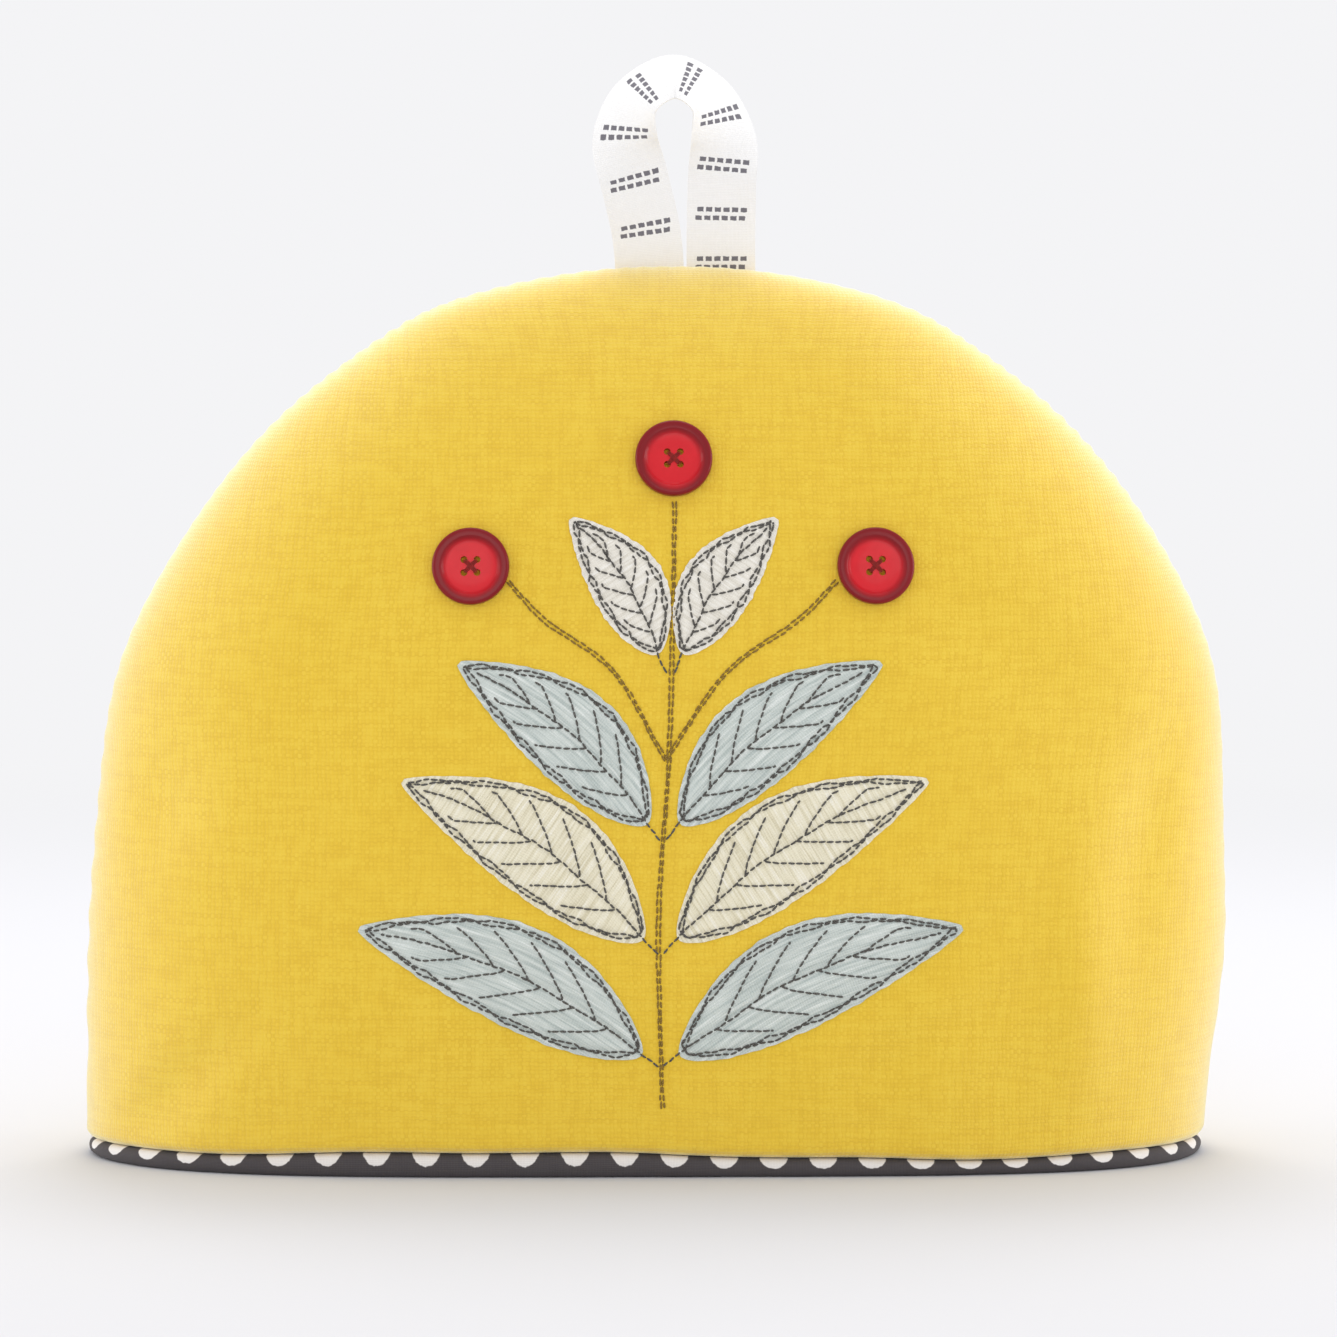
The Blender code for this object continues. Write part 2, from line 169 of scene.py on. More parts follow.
def tape_room(x, y, z):
    """How far the seam parts at a place, to each side."""
    left = ease(x, TAPE_SPAN[0] - TAPE_FADE, TAPE_SPAN[0])
    right = 1 - ease(x, TAPE_SPAN[1], TAPE_SPAN[1] + TAPE_FADE)
    near = np.exp(-((y / TAPE_REACH) ** 2)) * ease(z, HEIGHT - ROOM_SHUT_BELOW, HEIGHT - ROOM_OPEN_BELOW)
    return (TAPE_SKIN / 2 + TAPE_AIR) * left * right * near


def swell_at(across, up):
    """How far the face stands from the seam plane, as a share of the half depth."""
    level = np.sqrt(np.maximum(1 - up * up, 1e-12))
    share = np.minimum(abs(across) / level, 1)
    return level * np.sqrt(1 - share**PLAN_POWER)


def layer_point(across, up, depth, side, height=None):
    """Points of the layer at this depth under the outer face."""
    if height is None:
        height = SPRING_HEIGHT + (HEIGHT - SPRING_HEIGHT - depth) * up ** (2 / ARCH_POWER)
    x = (HALF_WIDTH - depth) * across
    y = (HALF_DEPTH - depth) * swell_at(across, up)
    x, y, height = np.broadcast_arrays(x, y, height)
    points = settled(x, side * (y + SEAM_HALF_GAP), height, side)
    points[..., 1] += side * tape_room(points[..., 0], y, height)
    return points


def front_point(x, z, proud):
    """Points over the front's outer face, at (x, z) of the even form, standing this proud."""
    across = x / (HALF_WIDTH + proud)
    rise = (np.maximum(z, SPRING_HEIGHT) - SPRING_HEIGHT) / (HEIGHT - SPRING_HEIGHT + proud)
    return layer_point(across, rise ** (ARCH_POWER / 2), -proud, -1, z)


print("front of the cosy at mid height:", front_point(0.0, HEIGHT / 2, 0.0))

# %% [markdown]
# ## A map for the weave
# Threads have to keep their distance all over the cloth, so the map's U is the length along a
# level line from the middle, and its V is the length up the middle. Both are in metres, and a
# finish can then use real thread sizes. An unwrap by Blender would cut the cloth in pieces.

# %% Lengths along the cloth
def pairs(first, second):
    """One array of pairs from two arrays that fit together."""
    return np.stack(np.broadcast_arrays(first, second), -1)


def run_along(line):
    """The length from the start of a line to each of its points."""
    steps = np.linalg.norm(np.diff(np.array(line), axis=0), axis=1)
    return np.concatenate([[0], np.cumsum(steps)])


# Going round a face at the spring line, and up its middle. SLIDE is how fast a layer's way
# round gets shorter with its depth
STEPS = 400
SHARE = np.sin(np.linspace(0, math.pi / 2, STEPS))
OUT = HALF_DEPTH * np.sqrt(1 - SHARE**PLAN_POWER)
AROUND = run_along(pairs(HALF_WIDTH * SHARE, OUT))
ALONG_X = np.gradient(HALF_WIDTH * SHARE, AROUND)
ALONG_Y = np.gradient(OUT, AROUND)
SLIDE = SHARE * ALONG_X + OUT / HALF_DEPTH * ALONG_Y
UP = np.linspace(0, 1, STEPS)
CLIMB_Z = (HEIGHT - SPRING_HEIGHT) * UP ** (2 / ARCH_POWER)
CLIMB = run_along(pairs(CLIMB_Z, HALF_DEPTH * np.sqrt(1 - UP * UP)))


def cloth_map(across, up, depth=0.0):
    """(U, V) in metres of places of the half disc. A deeper layer is a shorter way round."""
    reach = np.sqrt(np.maximum(1 - up * up, 1e-9))
    share = abs(across) / reach
    run = np.interp(share, SHARE, AROUND) - depth * np.interp(share, SHARE, SLIDE)
    return pairs(np.sign(across) * reach * run, np.interp(up, UP, CLIMB))


print(f"cloth round one face at the spring line: {2 * AROUND[-1] * 1000:.0f} mm")
print(f"cloth up the middle of a face: {CLIMB[-1] * 1000:.0f} mm")

# %% [markdown]
# ## Making meshes
# Blender makes a mesh from lists of points and faces. Every cloth here is a grid of points, so
# one helper joins a grid with four-sided faces, and another makes the object and lays its map.
# A thin cloth is two such grids, one for each side, closed all round.


# %% Helpers for grids of points
def add_object(name, data):
    thing = bpy.data.objects.new(name, data)
    bpy.context.scene.collection.objects.link(thing)
    return thing


def mesh_of(bm, name):
    """A new mesh of what a bmesh holds. The bmesh is let go."""
    mesh = bpy.data.meshes.new(name)
    bm.to_mesh(mesh)
    bm.free()
    return mesh


def add_piece(name, points, faces, places, smooth_deg=50):
    """A mesh object whose map gives each point its (U, V) place in metres."""
    mesh = bpy.data.meshes.new(name)
    mesh.from_pydata([tuple(p) for p in points], [], faces)
    layer = mesh.uv_layers.new(name="cloth")
    corner = np.empty(len(mesh.loops), np.int32)
    mesh.loops.foreach_get("vertex_index", corner)
    layer.uv.foreach_set("vector", np.asarray(places, np.float32)[corner].ravel())
    bm = bmesh.new()
    bm.from_mesh(mesh)
    bmesh.ops.recalc_face_normals(bm, faces=bm.faces)
    bm.to_mesh(mesh)
    bm.free()
    mesh.shade_smooth()
    mesh.set_sharp_from_angle(angle=math.radians(smooth_deg))
    return add_object(name, mesh)


def grid_faces(numbers):
    """Four-sided faces over a grid of vertex numbers."""
    a, b = numbers[:-1, :-1], numbers[1:, :-1]
    c, d = numbers[1:, 1:], numbers[:-1, 1:]
    return np.stack([a, b, c, d], -1).reshape(-1, 4).tolist()


def strip_faces(first, second):
    """Faces between two rows of vertex numbers of the same length."""
    return grid_faces(np.array([first, second]))


def numbered(grid):
    """The vertex numbers of a grid of points."""
    return np.arange(grid.shape[0] * grid.shape[1]).reshape(grid.shape[:2])


def add_sheet(name, shown, hidden, places, smooth_deg=50):
    """A thin closed piece from the grids of its two sides, which share one map."""
    numbers = numbered(shown)
    behind = numbers + numbers.size
    faces = grid_faces(numbers) + grid_faces(behind)
    for edge in ((slice(None), 0), (slice(None), -1), (0, slice(None)), (-1, slice(None))):
        faces += strip_faces(numbers[edge], behind[edge])
    points = np.concatenate([shown.reshape(-1, 3), hidden.reshape(-1, 3)])
    return add_piece(name, points, faces, np.tile(places.reshape(-1, 2), (2, 1)), smooth_deg)


def area_of(sheet):
    """The area of one side of a thin piece."""
    return sum(p.area for p in sheet.data.polygons) / 2


def disc_grid(columns, rows, crowding=1.5):
    """Places of the half disc in a grid that is crowded towards the seam."""
    u = np.sin(math.pi / 2 * np.linspace(-1, 1, columns + 1))[:, None]
    v = np.sin(math.pi / 2 * np.linspace(0, 1, rows + 1) ** crowding)[None, :]
    return u * np.sqrt(1 - v * v / 2), v * np.sqrt(1 - u * u / 2)


def quarter_round(depth, height, radius, start_deg, steps=6):
    """A quarter circle of (depth, height) places about a centre."""
    turns = np.radians(start_deg + 90 * np.linspace(0, 1, steps + 1))
    return [(depth - radius * math.cos(t), height - radius * math.sin(t)) for t in turns]


def unit(vectors):
    return vectors / np.linalg.norm(vectors, axis=-1, keepdims=True)


def beside(line):
    """A step of length 1 to the left of a flat line, at each of its points."""
    ahead = unit(np.gradient(line, axis=0))
    return np.stack([-ahead[:, 1], ahead[:, 0]], -1)


# %% [markdown]
# ## The padded faces
# Each face is yellow wool with wadding behind it, and it is one closed wall: outer face, hem,
# inner face and the edge that is sewn in the seam. At the seam the stitches pull the cloth down
# into a valley, and it gathers there in small puckers that are never quite even.

# %% Sizes of the padded faces
COLUMNS = 236
ROWS = 128
VALLEY_DEPTH = 0.0016
VALLEY_WIDTH = 0.0030
PUCKER_DEPTH = 0.00055
PUCKER_REACH = 0.0075
PUCKER_LENGTH = 0.0088
HEM_ROUND = 0.0030
SMALL_ROUND = 0.0010
SEAM_LENGTH = 0.80

Sway = namedtuple("Sway", "size reach phase")
PUCKER_DRIFT = (Sway(0.9, 0.031, 1), Sway(0.7, 0.0123, 2))
PUCKER_STRENGTH = 0.65
PUCKER_UNEVEN = (Sway(0.35, 0.047, 3),)


def swaying(run, sways, side):
    return sum(s.size * np.sin(run / s.reach + s.phase * side) for s in sways)


def pucker_at(across, up, side):
    """Depth of the gathers beside the seam: none on it, and none far from it."""
    away = HALF_DEPTH * swell_at(across, up) / PUCKER_REACH
    run = SEAM_LENGTH / math.pi * np.arctan2(up, across)
    fold = 0.5 + 0.5 * np.sin(math.tau * run / PUCKER_LENGTH + swaying(run, PUCKER_DRIFT, side))
    strength = PUCKER_STRENGTH + swaying(run, PUCKER_UNEVEN, side)
    return PUCKER_DEPTH * strength * fold * away * np.exp(1 - away * away)


def padding_hem():
    """The padding's lower edge, from its outer face round to its inner one."""
    foot = EDGE_HEIGHT + CLEARANCE
    outer = quarter_round(HEM_ROUND, foot + HEM_ROUND, HEM_ROUND, 0)
    return outer + quarter_round(PADDING - SMALL_ROUND, foot + SMALL_ROUND, SMALL_ROUND, 90, 3)


# %% Build the padded faces
def padded_face(name, side):
    across, up = disc_grid(COLUMNS, ROWS)
    valley = VALLEY_DEPTH * np.exp(-((HALF_DEPTH * swell_at(across, up) / VALLEY_WIDTH) ** 2))
    outer = layer_point(across, up, valley + pucker_at(across, up, side), side)
    inner = layer_point(across, up, PADDING, side)
    hem = padding_hem()
    lower = [layer_point(across[:, 0], 0.0, np.maximum(d, valley[:, 0]), side, z) for d, z in hem]
    points = np.concatenate([outer[:, ::-1], np.stack(lower, 1), inner], 1)

    outer_map = cloth_map(across, up)
    fall = SPRING_HEIGHT - hem[0][1] + run_along(hem)
    hem_map = pairs(outer_map[:, :1, 0], -fall)
    inner_map = outer_map - np.array([0, fall[-1]])
    places = np.concatenate([outer_map[:, ::-1], hem_map, inner_map], 1)

    numbers = numbered(points)
    far = ROWS + 1 + len(hem)
    faces = grid_faces(numbers)
    faces += strip_faces(numbers[:, 0], numbers[:, -1])
    for column in (0, COLUMNS):
        faces += strip_faces(numbers[column, ROWS::-1], numbers[column, far:])
        faces.append(numbers[column, ROWS : far + 1].tolist())
    return add_piece(name, points.reshape(-1, 3), faces, places.reshape(-1, 2))


front_cover = padded_face("front_cover", -1)
back_cover = padded_face("back_cover", 1)
print("faces in the front cover:", len(front_cover.data.polygons))

# %% [markdown]
# ## The spotted lining
# The lining is a thin cotton. It follows the wadding inside, comes out under it, turns up round
# the edge and is tucked in under the yellow cloth. That roll is all of it that shows from the
# front, and the cosy stands on it, so its underside is pressed flat.

# %% Sizes of the lining
LINING_COLUMNS = 200
LINING_ROWS = 60
LINING_DEPTH = PADDING + CLEARANCE + LINING
COTTON = 0.0006
EDGE_INSET = 0.0008
EDGE_ROUND = 0.0026
TUCKED_TO = 0.0052


def lining_roll():
    """The lining's lower edge as (depth, height), from where it is tucked in to its inner wall."""
    centre = EDGE_INSET + EDGE_ROUND
    last_centre = LINING_DEPTH - SMALL_ROUND
    top = quarter_round(centre, EDGE_HEIGHT - EDGE_ROUND, EDGE_ROUND, -90)
    foot = quarter_round(centre, EDGE_ROUND, EDGE_ROUND, 0)
    flat = [(depth, 0.0) for depth in np.linspace(centre, last_centre, 4)[1:-1]]
    back = quarter_round(last_centre, SMALL_ROUND, SMALL_ROUND, 90, 4)
    return np.array([(TUCKED_TO, EDGE_HEIGHT)] + top + foot + flat + back)


# %% Build the lining
def lining_face(name, side):
    across, up = disc_grid(LINING_COLUMNS, LINING_ROWS)
    roll = lining_roll()
    sides = []
    for under in (0.0, COTTON):
        line = roll + under * beside(roll)
        lower = [layer_point(across[:, 0], 0.0, d, side, z) for d, z in line]
        wall = layer_point(across, up, LINING_DEPTH - under, side)
        sides.append(np.concatenate([np.stack(lower, 1), wall], 1))

    run = run_along(roll)
    wall_map = cloth_map(across, up, LINING_DEPTH)
    wall_map[..., 1] += run[-1] + SPRING_HEIGHT - SMALL_ROUND
    roll_map = cloth_map(across[:, :1], 0.0, roll[:, 0])
    roll_map[..., 1] = run
    return add_sheet(name, *sides, np.concatenate([roll_map, wall_map], 1))


front_lining = lining_face("front_lining", -1)
back_lining = lining_face("back_lining", 1)
print(f"cotton in one lining: {area_of(front_lining):.4f} square metres")
grid = np.array([v.co for v in front_lining.data.vertices]).reshape(2, LINING_COLUMNS + 1, -1, 3)
wide = run_along(grid[0, :, len(lining_roll())])[-1]
high = run_along(grid[0, LINING_COLUMNS // 2])[-1]
print(f"its width and height laid flat: {wide * 1000:.0f} by {high * 1000:.0f} mm")

# %% [markdown]
# ## The tape loop
# The loop is one length of woven tape, bent over and caught in the seam by both ends. Its legs
# lie flat in the seam plane, and its top leans back. The line below is the middle of the tape.

# %% Sizes of the tape
TAPE_LEAN_BACK = math.radians(50)
TAPE_LEAN_FROM = 0.291
TAPE_LEAN_TO = 0.322
TAPE_END_HEIGHT = 0.2605
TAPE_LINE = (
    (-0.0026, TAPE_END_HEIGHT),
    (-0.0026, 0.2680),
    (-0.0038, 0.2780),
    (-0.0068, 0.2910),
    (-0.0098, 0.3040),
    (-0.0065, 0.3160),
    (0.0050, 0.3224),
    (0.0160, 0.3160),
    (0.0197, 0.3040),
    (0.0192, 0.2910),
    (0.0189, 0.2760),
    (0.0189, TAPE_END_HEIGHT),
)
TAPE_STEPS = 12
TAPE_PARTS = 14
TAPE_FREE_RISE = 0.012
TAPE_CUP = 0.00030
TAPE_CUP_LEVEL = 0.4
TAPE_WAVE = 0.00025
TAPE_WAVE_REACH = 0.0061
TAPE_EDGE_LOSS = 0.35
TAPE_EDGE_POWER = 8


def smooth_line(points, steps):
    """A smooth curve through points, with this many steps in each stretch."""
    knots = np.array(points, float)
    knots = np.vstack([2 * knots[0] - knots[1], knots, 2 * knots[-1] - knots[-2]])
    line = []
    for a, b, c, d in zip(knots, knots[1:], knots[2:], knots[3:]):
        for t in np.arange(steps) / steps:
            bend = 2 * a - 5 * b + 4 * c - d
            twist = 3 * b - a - 3 * c + d
            line.append(b + (t * (c - a) + t * t * bend + t * t * t * twist) / 2)
    return np.array(line + [knots[-2]])


# %% Build the tape loop
def hanging_tape(name):
    line = smooth_line(TAPE_LINE, TAPE_STEPS)
    run = run_along(line)
    along = unit(np.gradient(line, axis=0))
    lean = TAPE_LEAN_BACK * ease(line[:, 1], TAPE_LEAN_FROM, TAPE_LEAN_TO)
    outward = np.stack([-along[:, 1] * np.cos(lean), np.sin(lean), along[:, 0] * np.cos(lean)], -1)
    level = np.zeros(len(line))
    face = unit(np.cross(outward, np.stack([along[:, 0], level, along[:, 1]], -1)))
    middle = np.stack([line[:, 0], level + SEAM_Y, line[:, 1]], -1)

    share = np.linspace(-1, 1, TAPE_PARTS + 1)
    wave = TAPE_WAVE * np.sin(run / TAPE_WAVE_REACH)[:, None] * share
    free = ease(line[:, 1], HEIGHT, HEIGHT + TAPE_FREE_RISE)[:, None]
    cup = (TAPE_CUP * (share**2 - TAPE_CUP_LEVEL) + wave) * free
    thin = TAPE_SKIN / 2 * (1 - TAPE_EDGE_LOSS * abs(share) ** TAPE_EDGE_POWER)
    flat = middle[:, None] + outward[:, None] * (share * TAPE_WIDTH / 2)[:, None]
    sides = [flat + face[:, None] * (cup + way * thin)[..., None] for way in (1, -1)]
    return add_sheet(name, *sides, pairs(share * TAPE_WIDTH / 2, run[:, None])), run[-1]


tape_loop, tape_length = hanging_tape("tape_loop")
print(f"tape from end to end: {tape_length * 1000:.0f} mm")

# %% [markdown]
# ## The leaves
# The leaves are cut from linen scraps and sewn down with their edges left raw. The cloth puffs a
# little between the rows of stitches and lies flat under them, and its cut edge wanders.

# %% Sizes of the leaves
Leaf = namedtuple("Leaf", "height angle_deg length width cloth")
LEAF_PAIRS = (
    Leaf(0.034, 66, 0.090, 0.030, "blue_cloth"),
    Leaf(0.067, 57, 0.084, 0.030, "cream_cloth"),
    Leaf(0.100, 50, 0.072, 0.027, "blue_cloth"),
    Leaf(0.148, 34, 0.047, 0.021, "white_cloth"),
)
LEAF_STALK = 0.006
LEAF_BEND = 0.07
LEAF_WIDEST_POWER = 0.85
LEAF_ROUND_POWER = 0.85
LEAF_TIP_HALF_WIDTH = 0.0008
LEAF_STEPS = 90
LEAF_PARTS = 26
LINEN = 0.00045
LINEN_LIFT = 0.00012
PUFF = 0.00075
SEW_INSET = 0.0019
SEW_DIP = 0.0013
FRAY = 0.00032
FRAY_WAVES = (41.0, 67.0, 123.0)
LEAF_MAP_STEP = 0.137
LEAF_SEED_STEP = 0.31


def leaf_half(leaf, along, inset=0.0):
    """Half the leaf's width at a share of its length, less an inset."""
    inside = np.clip(along, 1e-6, 1 - 1e-6)
    swell = np.sin(math.pi * inside**LEAF_WIDEST_POWER) ** LEAF_ROUND_POWER
    half = LEAF_TIP_HALF_WIDTH + (leaf.width / 2 - LEAF_TIP_HALF_WIDTH) * swell
    return np.maximum(half - inset, 0)


def leaf_place(leaf, hand, along, offset):
    """(x, z) of a place in a leaf: a share of its length, and metres to its upper side."""
    lean = math.radians(leaf.angle_deg)
    run = LEAF_STALK + leaf.length * along
    offset = offset + LEAF_BEND * leaf.length * np.sin(math.pi * along)
    x = run * math.sin(lean) - offset * math.cos(lean)
    return hand * x, leaf.height + run * math.cos(lean) + offset * math.sin(lean)


def leaf_rise(leaf, along, offset):
    """Height of the linen's upper side over the yellow cloth."""
    half = leaf_half(leaf, along)
    from_edge = np.minimum(half - abs(offset), leaf.length * np.minimum(along, 1 - along))
    sewn = np.exp(-(((from_edge - SEW_INSET) / SEW_DIP) ** 2))
    rib = np.exp(-((offset / SEW_DIP) ** 2))
    puff = PUFF * (1 - np.maximum(sewn, rib)) * ease(from_edge, 0.0, 2 * SEW_INSET)
    return LINEN_LIFT + LINEN + puff


# %% Build the leaves
def linen_leaf(name, leaf, hand, seed):
    along = np.linspace(0, 1, LEAF_STEPS + 1)[:, None]
    share = np.linspace(-1, 1, LEAF_PARTS + 1)
    fray = sum(np.sin((along + seed) * k + np.sign(share)) for k in FRAY_WAVES) / len(FRAY_WAVES)
    half = leaf_half(leaf, along) + FRAY * fray * np.sin(math.pi * along) ** 0.5
    offset = half * share
    x, z = leaf_place(leaf, hand, along, offset)
    rise = leaf_rise(leaf, along, offset)
    upper = front_point(x, z, rise)
    lower = front_point(x, z, LINEN_LIFT + np.maximum(rise - 2 * LINEN, 0) / 2)
    places = pairs(along * leaf.length + seed * LEAF_MAP_STEP, offset)
    return add_sheet(name, upper, lower, places, smooth_deg=70)


leaves = {}
for pair, leaf in enumerate(LEAF_PAIRS, 1):
    for word, hand in (("left", -1), ("right", 1)):
        node = f"leaf_{pair}_{word}"
        seed = pair + hand * LEAF_SEED_STEP
        leaves[node] = (linen_leaf("linen_" + node, leaf, hand, seed), leaf)
print("leaves:", len(leaves))

# %% [markdown]
# ## Stitches
# The sprig is drawn with a sewing machine: short stitches in a thread, each of them a tiny arch
# that dips into the cloth at both ends. The lines run twice, a little apart, as such lines do
# when they are drawn by hand. One function sews a line, and the stitches of a colour are one mesh.

# %% A line of stitches
STITCH = 0.0023
STITCH_GAP = 0.00025
SHORTEST_STITCH = 0.4
STITCH_ARCH = 0.9
STITCH_RISE = 0.00012
STITCH_WANDER = 0.00018
STITCH_MAP_STEP = 0.003
THREAD = 0.00030
THREAD_SIDES = 6
RING_SHARES = np.array([0.0, 0.12, 0.32, 0.5, 0.68, 0.88, 1.0])
RING_SIZES = np.array([0.35, 0.8, 1.0, 1.0, 1.0, 0.8, 0.35])
UNDER_CLOTH = 0.002


class Needlework:
    """Collects stitches and makes one piece of them."""

    def __init__(self, seed, thread=THREAD):
        self.points, self.faces, self.places = [], [], []
        self.dice = random.Random(seed)
        self.thread = thread
        self.count = 0

    def strand(self, centres, side, out, radii, runs):
        """A round thread with closed ends: a ring of points about each of its centres."""
        turns = np.arange(THREAD_SIDES) / THREAD_SIDES
        angles = math.tau * turns[:, None]
        rings = np.cos(angles) * side[..., None, :] + np.sin(angles) * out[..., None, :]
        points = centres[:, None] + rings * radii[:, None, None]
        numbers = len(self.points) + numbered(points)
        numbers = np.hstack([numbers, numbers[:, :1]])
        self.points += list(points.reshape(-1, 3))
        self.places += list(pairs(runs[:, None], turns).reshape(-1, 2))
        self.faces += grid_faces(numbers)
        self.faces += [numbers[0, :-1].tolist(), numbers[-1, :-1].tolist()]

    def stitch(self, start, end, out):
        """One stitch between two points on the cloth, its middle raised outwards."""
        ahead = end - start
        arch = self.thread * STITCH_ARCH * 4 * RING_SHARES * (1 - RING_SHARES)
        lift = arch + STITCH_RISE * np.sin(math.pi * RING_SHARES)
        centres = start + ahead * RING_SHARES[:, None] + out * lift[:, None]
        runs = self.count * STITCH_MAP_STEP + RING_SHARES * STITCH
        self.strand(centres, unit(np.cross(ahead, out)), out, RING_SIZES * self.thread, runs)
        self.count += 1

    def sew(self, line, wander=STITCH_WANDER):
        """Sews along (x, z, rise) places of the front, which lie close together."""
        run = run_along(line[:, :2])
        for spot in np.arange(0, run[-1] - STITCH * SHORTEST_STITCH, STITCH):
            shift = [self.dice.uniform(-wander, wander) for _ in range(4)]
            ends = []
            for index, at in enumerate((spot, min(spot + STITCH - STITCH_GAP, run[-1]))):
                x, z, rise = (np.interp(at, run, line[:, k]) for k in range(3))
                ends.append((x + shift[2 * index], z + shift[2 * index + 1], rise))
            start, end = (front_point(x, z, rise) for x, z, rise in ends)
            # The way out of the cloth is from a place under it to the stitch
            x, z, rise = ends[0]
            self.stitch(start, end, unit(start - front_point(x, z, rise - UNDER_CLOTH)))

    def piece(self, name):
        return add_piece(name, self.points, self.faces, self.places, smooth_deg=80)


# %% [markdown]
# ## Outlines, ribs and veins of the leaves
# A dark grey thread holds each leaf: two wandering lines a stitch's width apart just inside the
# cut edge, a rib up the middle, and a few veins that curve out of the rib.

# %% Sew the leaves down
LINE_POINTS = 160
OUTLINE_SPAN = (0.02, 0.985)
OUTLINES = ((SEW_INSET - 0.0004, 0.0), (SEW_INSET + 0.0005, 2.1))
OUTLINE_WANDER = 0.00035
OUTLINE_WAVES = 37
SMALL_WANDER = 0.0002
SMALL_WAVES = 83
RIB_END = 0.93
RIB_WANDER = 0.0003
RIB_WAVES = 19
RIB_CLIMB = 0.01
VEINS = 5
VEIN_POINTS = 40
VEIN_START = 0.14
VEIN_STEP = 0.125
VEIN_STAGGER = 0.04
VEIN_SWEEP = 0.17
VEIN_REACH = 0.72
VEIN_CURVE = 0.85
VEIN_INSET = 0.004
VEIN_WANDER = 0.00012


def leaf_line(leaf, hand, along, offset):
    """(x, z, rise) places along a line in a leaf."""
    x, z = leaf_place(leaf, hand, along, offset)
    return np.stack([x, z, leaf_rise(leaf, along, offset)], -1)


def sew_leaf(work, leaf, hand):
    along = np.linspace(*OUTLINE_SPAN, LINE_POINTS)
    for inset, phase in OUTLINES:
        wander = OUTLINE_WANDER * np.sin(along * OUTLINE_WAVES + phase + hand)
        wander += SMALL_WANDER * np.sin(along * SMALL_WAVES + phase)
        half = leaf_half(leaf, along, inset)
        there = leaf_line(leaf, hand, along, half + wander)
        back = leaf_line(leaf, hand, along, -half - wander[::-1])[::-1]
        work.sew(np.concatenate([there, back, there[:3]]))
    rib = np.linspace(-LEAF_STALK / leaf.length, RIB_END, LINE_POINTS)
    on_leaf = leaf_line(leaf, hand, rib, RIB_WANDER * np.sin(rib * RIB_WAVES + hand))
    on_leaf[:, 2] *= ease(rib, -RIB_CLIMB, RIB_CLIMB)
    work.sew(on_leaf)
    share = np.linspace(0, 1, VEIN_POINTS)
    for vein in range(VEINS):
        for side in (-1, 1):
            start = VEIN_START + VEIN_STEP * vein + VEIN_STAGGER * (side > 0)
            at = start + VEIN_SWEEP * share
            reach = VEIN_REACH * leaf_half(leaf, start + VEIN_SWEEP)
            room = leaf_half(leaf, at, VEIN_INSET)
            offset = np.clip(side * reach * share**VEIN_CURVE, -room, room)
            work.sew(leaf_line(leaf, hand, at, offset), VEIN_WANDER)


outline_work = Needlework(11)
for leaf in LEAF_PAIRS:
    for hand in (-1, 1):
        sew_leaf(outline_work, leaf, hand)
outline_thread = outline_work.piece("outline_thread")
print("stitches in the outlines:", outline_work.count)

# %% [markdown]
# ## Stem and stalks
# The stem and the stalks of the berries are in a brown thread, in lines that lie side by side.

# %% Sew the stem
BERRIES = ((-0.058, 0.178), (0.058, 0.178), (0.0, 0.209))
BUTTON_RADIUS = 0.01125
STALK_FORK = 0.122
STEM_BENDS = ((0.0006, 0.020), (-0.0008, 0.070), (0.0006, STALK_FORK))
STALK_BENDS = ((0.016, 0.1475), (0.036, 0.1625))
STALK_END_IN = 0.0108
STALK_END_BELOW = 0.0040
STEM_STEPS = 24
STEM_LINES = (-0.00045, 0.00045)
STEM_UNEVEN = 0.35
STEM_UNEVEN_REACH = 0.011
STEM_PHASE = 5000


def stem_line(points, shift):
    """A smooth line through (x, z) points, moved sideways, with a little unevenness."""
    line = smooth_line(points, STEM_STEPS)
    wave = np.sin(run_along(line) / STEM_UNEVEN_REACH + shift * STEM_PHASE)
    line = line + shift * (1 + STEM_UNEVEN * wave)[:, None] * beside(line)
    return np.column_stack([line, np.zeros(len(line))])


top_x, top_z = BERRIES[2]
stems = [(*STEM_BENDS, (top_x, top_z - BUTTON_RADIUS))]
for hand, (berry_x, berry_z) in zip((-1, 1), BERRIES):
    bends = [(hand * x, z) for x, z in STALK_BENDS]
    stalk_end = (berry_x - hand * STALK_END_IN, berry_z - STALK_END_BELOW)
    stems.append([(0.0, STALK_FORK), *bends, stalk_end])
stem_work = Needlework(23)
for stem in stems:
    for shift in STEM_LINES:
        stem_work.sew(stem_line(stem, shift))
stem_thread = stem_work.piece("stem_thread")
print("stitches in the stem:", stem_work.count)

# %% [markdown]
# ## The thread in the seam
# The two faces are sewn together deep in the valley of the seam. The thread there closes the
# seam from the hem up to the tape on each side, and it is hardly seen.

# %% Sew the seam
SEAM_THREAD_DEPTH = 0.0024
SEAM_STEPS = 420
SEAM_MAP_STEP = 0.0015

